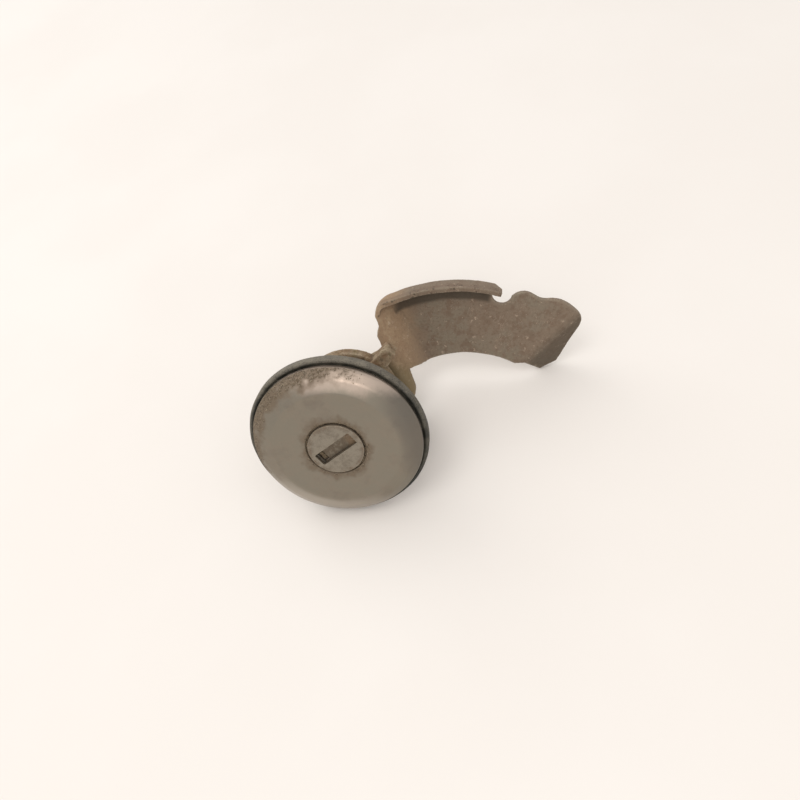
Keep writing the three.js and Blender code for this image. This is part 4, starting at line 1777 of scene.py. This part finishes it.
@dataclass
class TailPieces:
    """Washers and the clip on the plug's tail.

    ``clip_mouth`` is half the clip's opening, as a share of its hole's radius, and each pair of
    faces holds the heights of a piece's rear and front.
    """

    hole: float = 4.93
    thrust_radius: float = 9.5
    tail_radius: float = 6.8
    clip_radius: float = 5.6
    clip_hole: float = 3.0
    clip_mouth: float = 0.9
    thrust_faces: tuple[float, float] = (-26.3, -25.4)
    tail_faces: tuple[float, float] = (-29.1, -28.4)
    clip_faces: tuple[float, float] = (-30.2, -29.4)

    def washer(
        self, shop: Workshop, name: str, radius: float, back: float, front: float
    ) -> None:
        """Stamp one washer.

        Args:
            shop: The workshop.
            name: Its name and its CAD node.
            radius: Its outer radius.
            back: Height of its rear face.
            front: Height of its front face.
        """
        corners = [(self.hole, back), (radius, back), (radius, front), (self.hole, front)]
        profile = rounded([(r, z, 0.14) for r, z in corners], 3)
        piece = turned(f"{name}_ring", profile, 120)
        shop.deliver(piece, "steel", Body.CORE, [name])

    def clip(self, shop: Workshop) -> None:
        """Stamp the retaining clip, open on one side.

        Args:
            shop: The workshop.
        """
        mouth = math.degrees(math.asin(self.clip_mouth))
        gap = math.degrees(math.asin(self.clip_mouth * self.clip_hole / self.clip_radius))
        outer = circle(self.clip_radius, 64, gap, 360 - 2 * gap)
        inner = circle(self.clip_hole, 40, 360 - mouth, 2 * mouth - 360)
        piece = flat_piece("open_clip", [[*outer, *inner]], *self.clip_faces, 0.1)
        shop.deliver(
            piece, "steel", Body.CORE, ["retaining_clip"], in_key_frame=True
        )

    def make(self, shop: Workshop) -> None:
        """Build all three."""
        self.washer(shop, "thrust_washer", self.thrust_radius, *self.thrust_faces)
        self.washer(shop, "tail_washer", self.tail_radius, *self.tail_faces)
        self.clip(shop)


@dataclass
class Springs:
    """The coil springs of the wafers and the shutter."""

    count: int = 6
    first_height: float = -5.9
    pitch: float = 2.3
    offset: float = 4.45
    low: float = -2.5
    high: float = 0.9
    pin_end: Corner = (1.95, -5.05, 1.1)

    def make(self, shop: Workshop) -> None:
        """Wind every spring; each wafer's is blended, so that the wafer shortens it.

        Args:
            shop: The workshop.
        """
        tree = coil_tree(shop.finishes.made["steel"])
        sizes = {"Radius": 0.55, "Length": self.high - self.low, "Turns": 5.0, "Wire_Radius": 0.14}
        for index in range(self.count):
            place = (
                Matrix.Translation((0, 0, self.first_height - index * self.pitch))
                @ Matrix.Rotation(math.pi * (index % 2), 4, "Z")
                @ Matrix.Translation((self.offset, self.low, 0))
            )
            coil = self.wind(shop, tree, f"wafer_spring_{index + 1}", place, sizes, None)
            to_row = shop.frame.to_row @ shop.frame.key_to_lock @ place
            seat, ear = to_row @ Vector(), to_row @ Vector((0, sizes["Length"], 0))
            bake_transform(coil, Body.CORE.value, f"tumbler_{index + 1}", tuple(seat), tuple(ear))
        sizes = {"Radius": 0.65, "Length": 1.05, "Turns": 3.5, "Wire_Radius": 0.12}
        place = Matrix.Translation(self.pin_end)
        self.wind(shop, tree, "shutter_spring", place, sizes, Body.CORE)

    def wind(
        self,
        shop: Workshop,
        tree: NodeTree,
        name: str,
        place: Matrix,
        sizes: dict[str, float],
        body: Body | None,
    ) -> bpy.types.Object:
        """Wind one spring.

        Args:
            shop: The workshop.
            tree: The coil's tree.
            name: Its name and its CAD node.
            place: From the spring's end to the plug's own frame.
            sizes: The tree's inputs.
            body: The body it rides on, or None for one that a wafer presses.

        Returns:
            The spring.
        """
        piece = tree.run(mesh_object(name.replace("spring", "coil"), [], []), **sizes)
        along_y = Matrix.Rotation(-math.pi / 2, 4, "X")
        piece.data.transform(place @ along_y)
        return shop.deliver(piece, "steel", body, [name], in_key_frame=True)


def dress_hidden_nodes(shop: Workshop) -> None:
    """Give the CAD nodes that stay their finishes.

    Args:
        shop: The workshop.
    """
    finishes = {"plug": "zinc", "shutter_pin": "steel", "plug_seal": "rubber"}
    wafers = [name for name in shop.nodes if name[:6] == "wafer_" and name[6:].isdigit()]
    finishes.update({name: "brass" for name in wafers})
    for name, finish in finishes.items():
        shop.finishes.dress(shop.nodes[name], finish)
        LOG.info("%s: the packed solid, dressed in %s", name, finish)


# ---- Scene ----------------------------------------------------------------------------------


@dataclass(frozen=True)
class Lamp:
    """One square soft light that faces the lock.

    Args:
        name: Its name.
        place: Where it hangs, in metres.
        size: Its width.
        power: Its power in watts.
        tint: Its colour.
    """

    name: str
    place: Corner
    size: float
    power: float
    tint: Colour

    def hang(self) -> None:
        """Hang the light."""
        data = bpy.data.lights.new(self.name, "AREA")
        data.shape = "SQUARE"
        data.size = self.size
        data.energy = self.power
        data.color = self.tint
        lamp = bpy.data.objects.new(self.name, data)
        lamp.location = self.place
        lamp.rotation_mode = "QUATERNION"
        lamp.rotation_quaternion = (-Vector(self.place)).to_track_quat("-Z", "Y")
        bpy.context.scene.collection.objects.link(lamp)


@dataclass(frozen=True)
class Studio:
    """Bench, soft light and camera.

    Args:
        target: Place on the bench that the camera looks at, in metres.
        distance: How far the camera is from it.
        azimuth: Degrees that the camera stands round to the right.
        elevation: Degrees that it looks down.
        roll: Degrees that it is tipped.
        lens: Focal length on a 36 mm sensor.
        bench_half: Half the bench's width, in metres.
        room_tint: Colour of the room's even light.
        room_strength: Strength of the room's even light.
        lamps: The soft lights.
    """

    target: tuple[float, float, float] = (-0.00927, 0.00865, 0.0)
    distance: float = 0.2015
    azimuth: float = 15.51
    elevation: float = 54.14
    roll: float = -17.3
    lens: float = 31.5
    bench_half: float = 4.0
    room_tint: Colour = (0.98, 0.95, 0.92)
    room_strength: float = 0.88
    lamps: tuple[Lamp, ...] = (
        Lamp("key_light", (-0.32, -0.26, 1.1), 0.5, 1.8, (1.0, 0.975, 0.94)),
        Lamp("window_light", (-1.1, 1.0, 1.1), 1.2, 7.2, (1.0, 0.98, 0.94)),
        Lamp("front_light", (0.05, -0.7, 0.85), 0.32, 1.7, (1.0, 0.92, 0.86)),
    )

    def camera(self) -> None:
        """Set up the camera."""
        a, e = math.radians(self.azimuth), math.radians(self.elevation)
        back = Vector((math.sin(a) * math.cos(e), -math.cos(a) * math.cos(e), math.sin(e)))
        data = bpy.data.cameras.new("camera")
        data.lens = self.lens
        data.sensor_width = 36.0
        data.clip_start = 0.01
        camera = bpy.data.objects.new("camera", data)
        turn = (-back).to_track_quat("-Z", "Y").to_matrix().to_4x4()
        place = Matrix.Translation(Vector(self.target) + back * self.distance)
        camera.matrix_world = place @ turn @ Matrix.Rotation(math.radians(self.roll), 4, "Z")
        bpy.context.scene.collection.objects.link(camera)
        bpy.context.scene.camera = camera

    def make(self, finishes: Finishes) -> None:
        """Build the bench, the lights and the camera.

        Args:
            finishes: The finishes.
        """
        half = self.bench_half
        corners = [(-half, -half, 0), (half, -half, 0), (half, half, 0), (-half, half, 0)]
        bench = mesh_object("bench", corners, [(0, 1, 2, 3)])
        finishes.dress(bench, "bench")
        for lamp in self.lamps:
            lamp.hang()
        world = bpy.data.worlds.new("room")
        world.use_nodes = True
        background = world.node_tree.nodes["Background"]
        background.inputs["Color"].default_value = (*self.room_tint, 1.0)
        background.inputs["Strength"].default_value = self.room_strength
        bpy.context.scene.world = world
        bpy.context.scene.view_settings.view_transform = "Standard"
        self.camera()


def main() -> None:
    """Build the whole scene."""
    logging.basicConfig(level=logging.INFO, format="%(name)s %(message)s")
    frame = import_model()
    lock_frame = LockFrame.from_joints(frame["joints"])
    finishes = Finishes(lock_frame)
    finishes.build()
    shop = Workshop(lock_frame, frame["nodes"], finishes)
    Studio().make(finishes)
    for assembly in (FaceCap(), Housing(), PlugFront(), Lever(), TailPieces(), Springs()):
        assembly.make(shop)
    dress_hidden_nodes(shop)


if __name__ == "__main__":
    main()
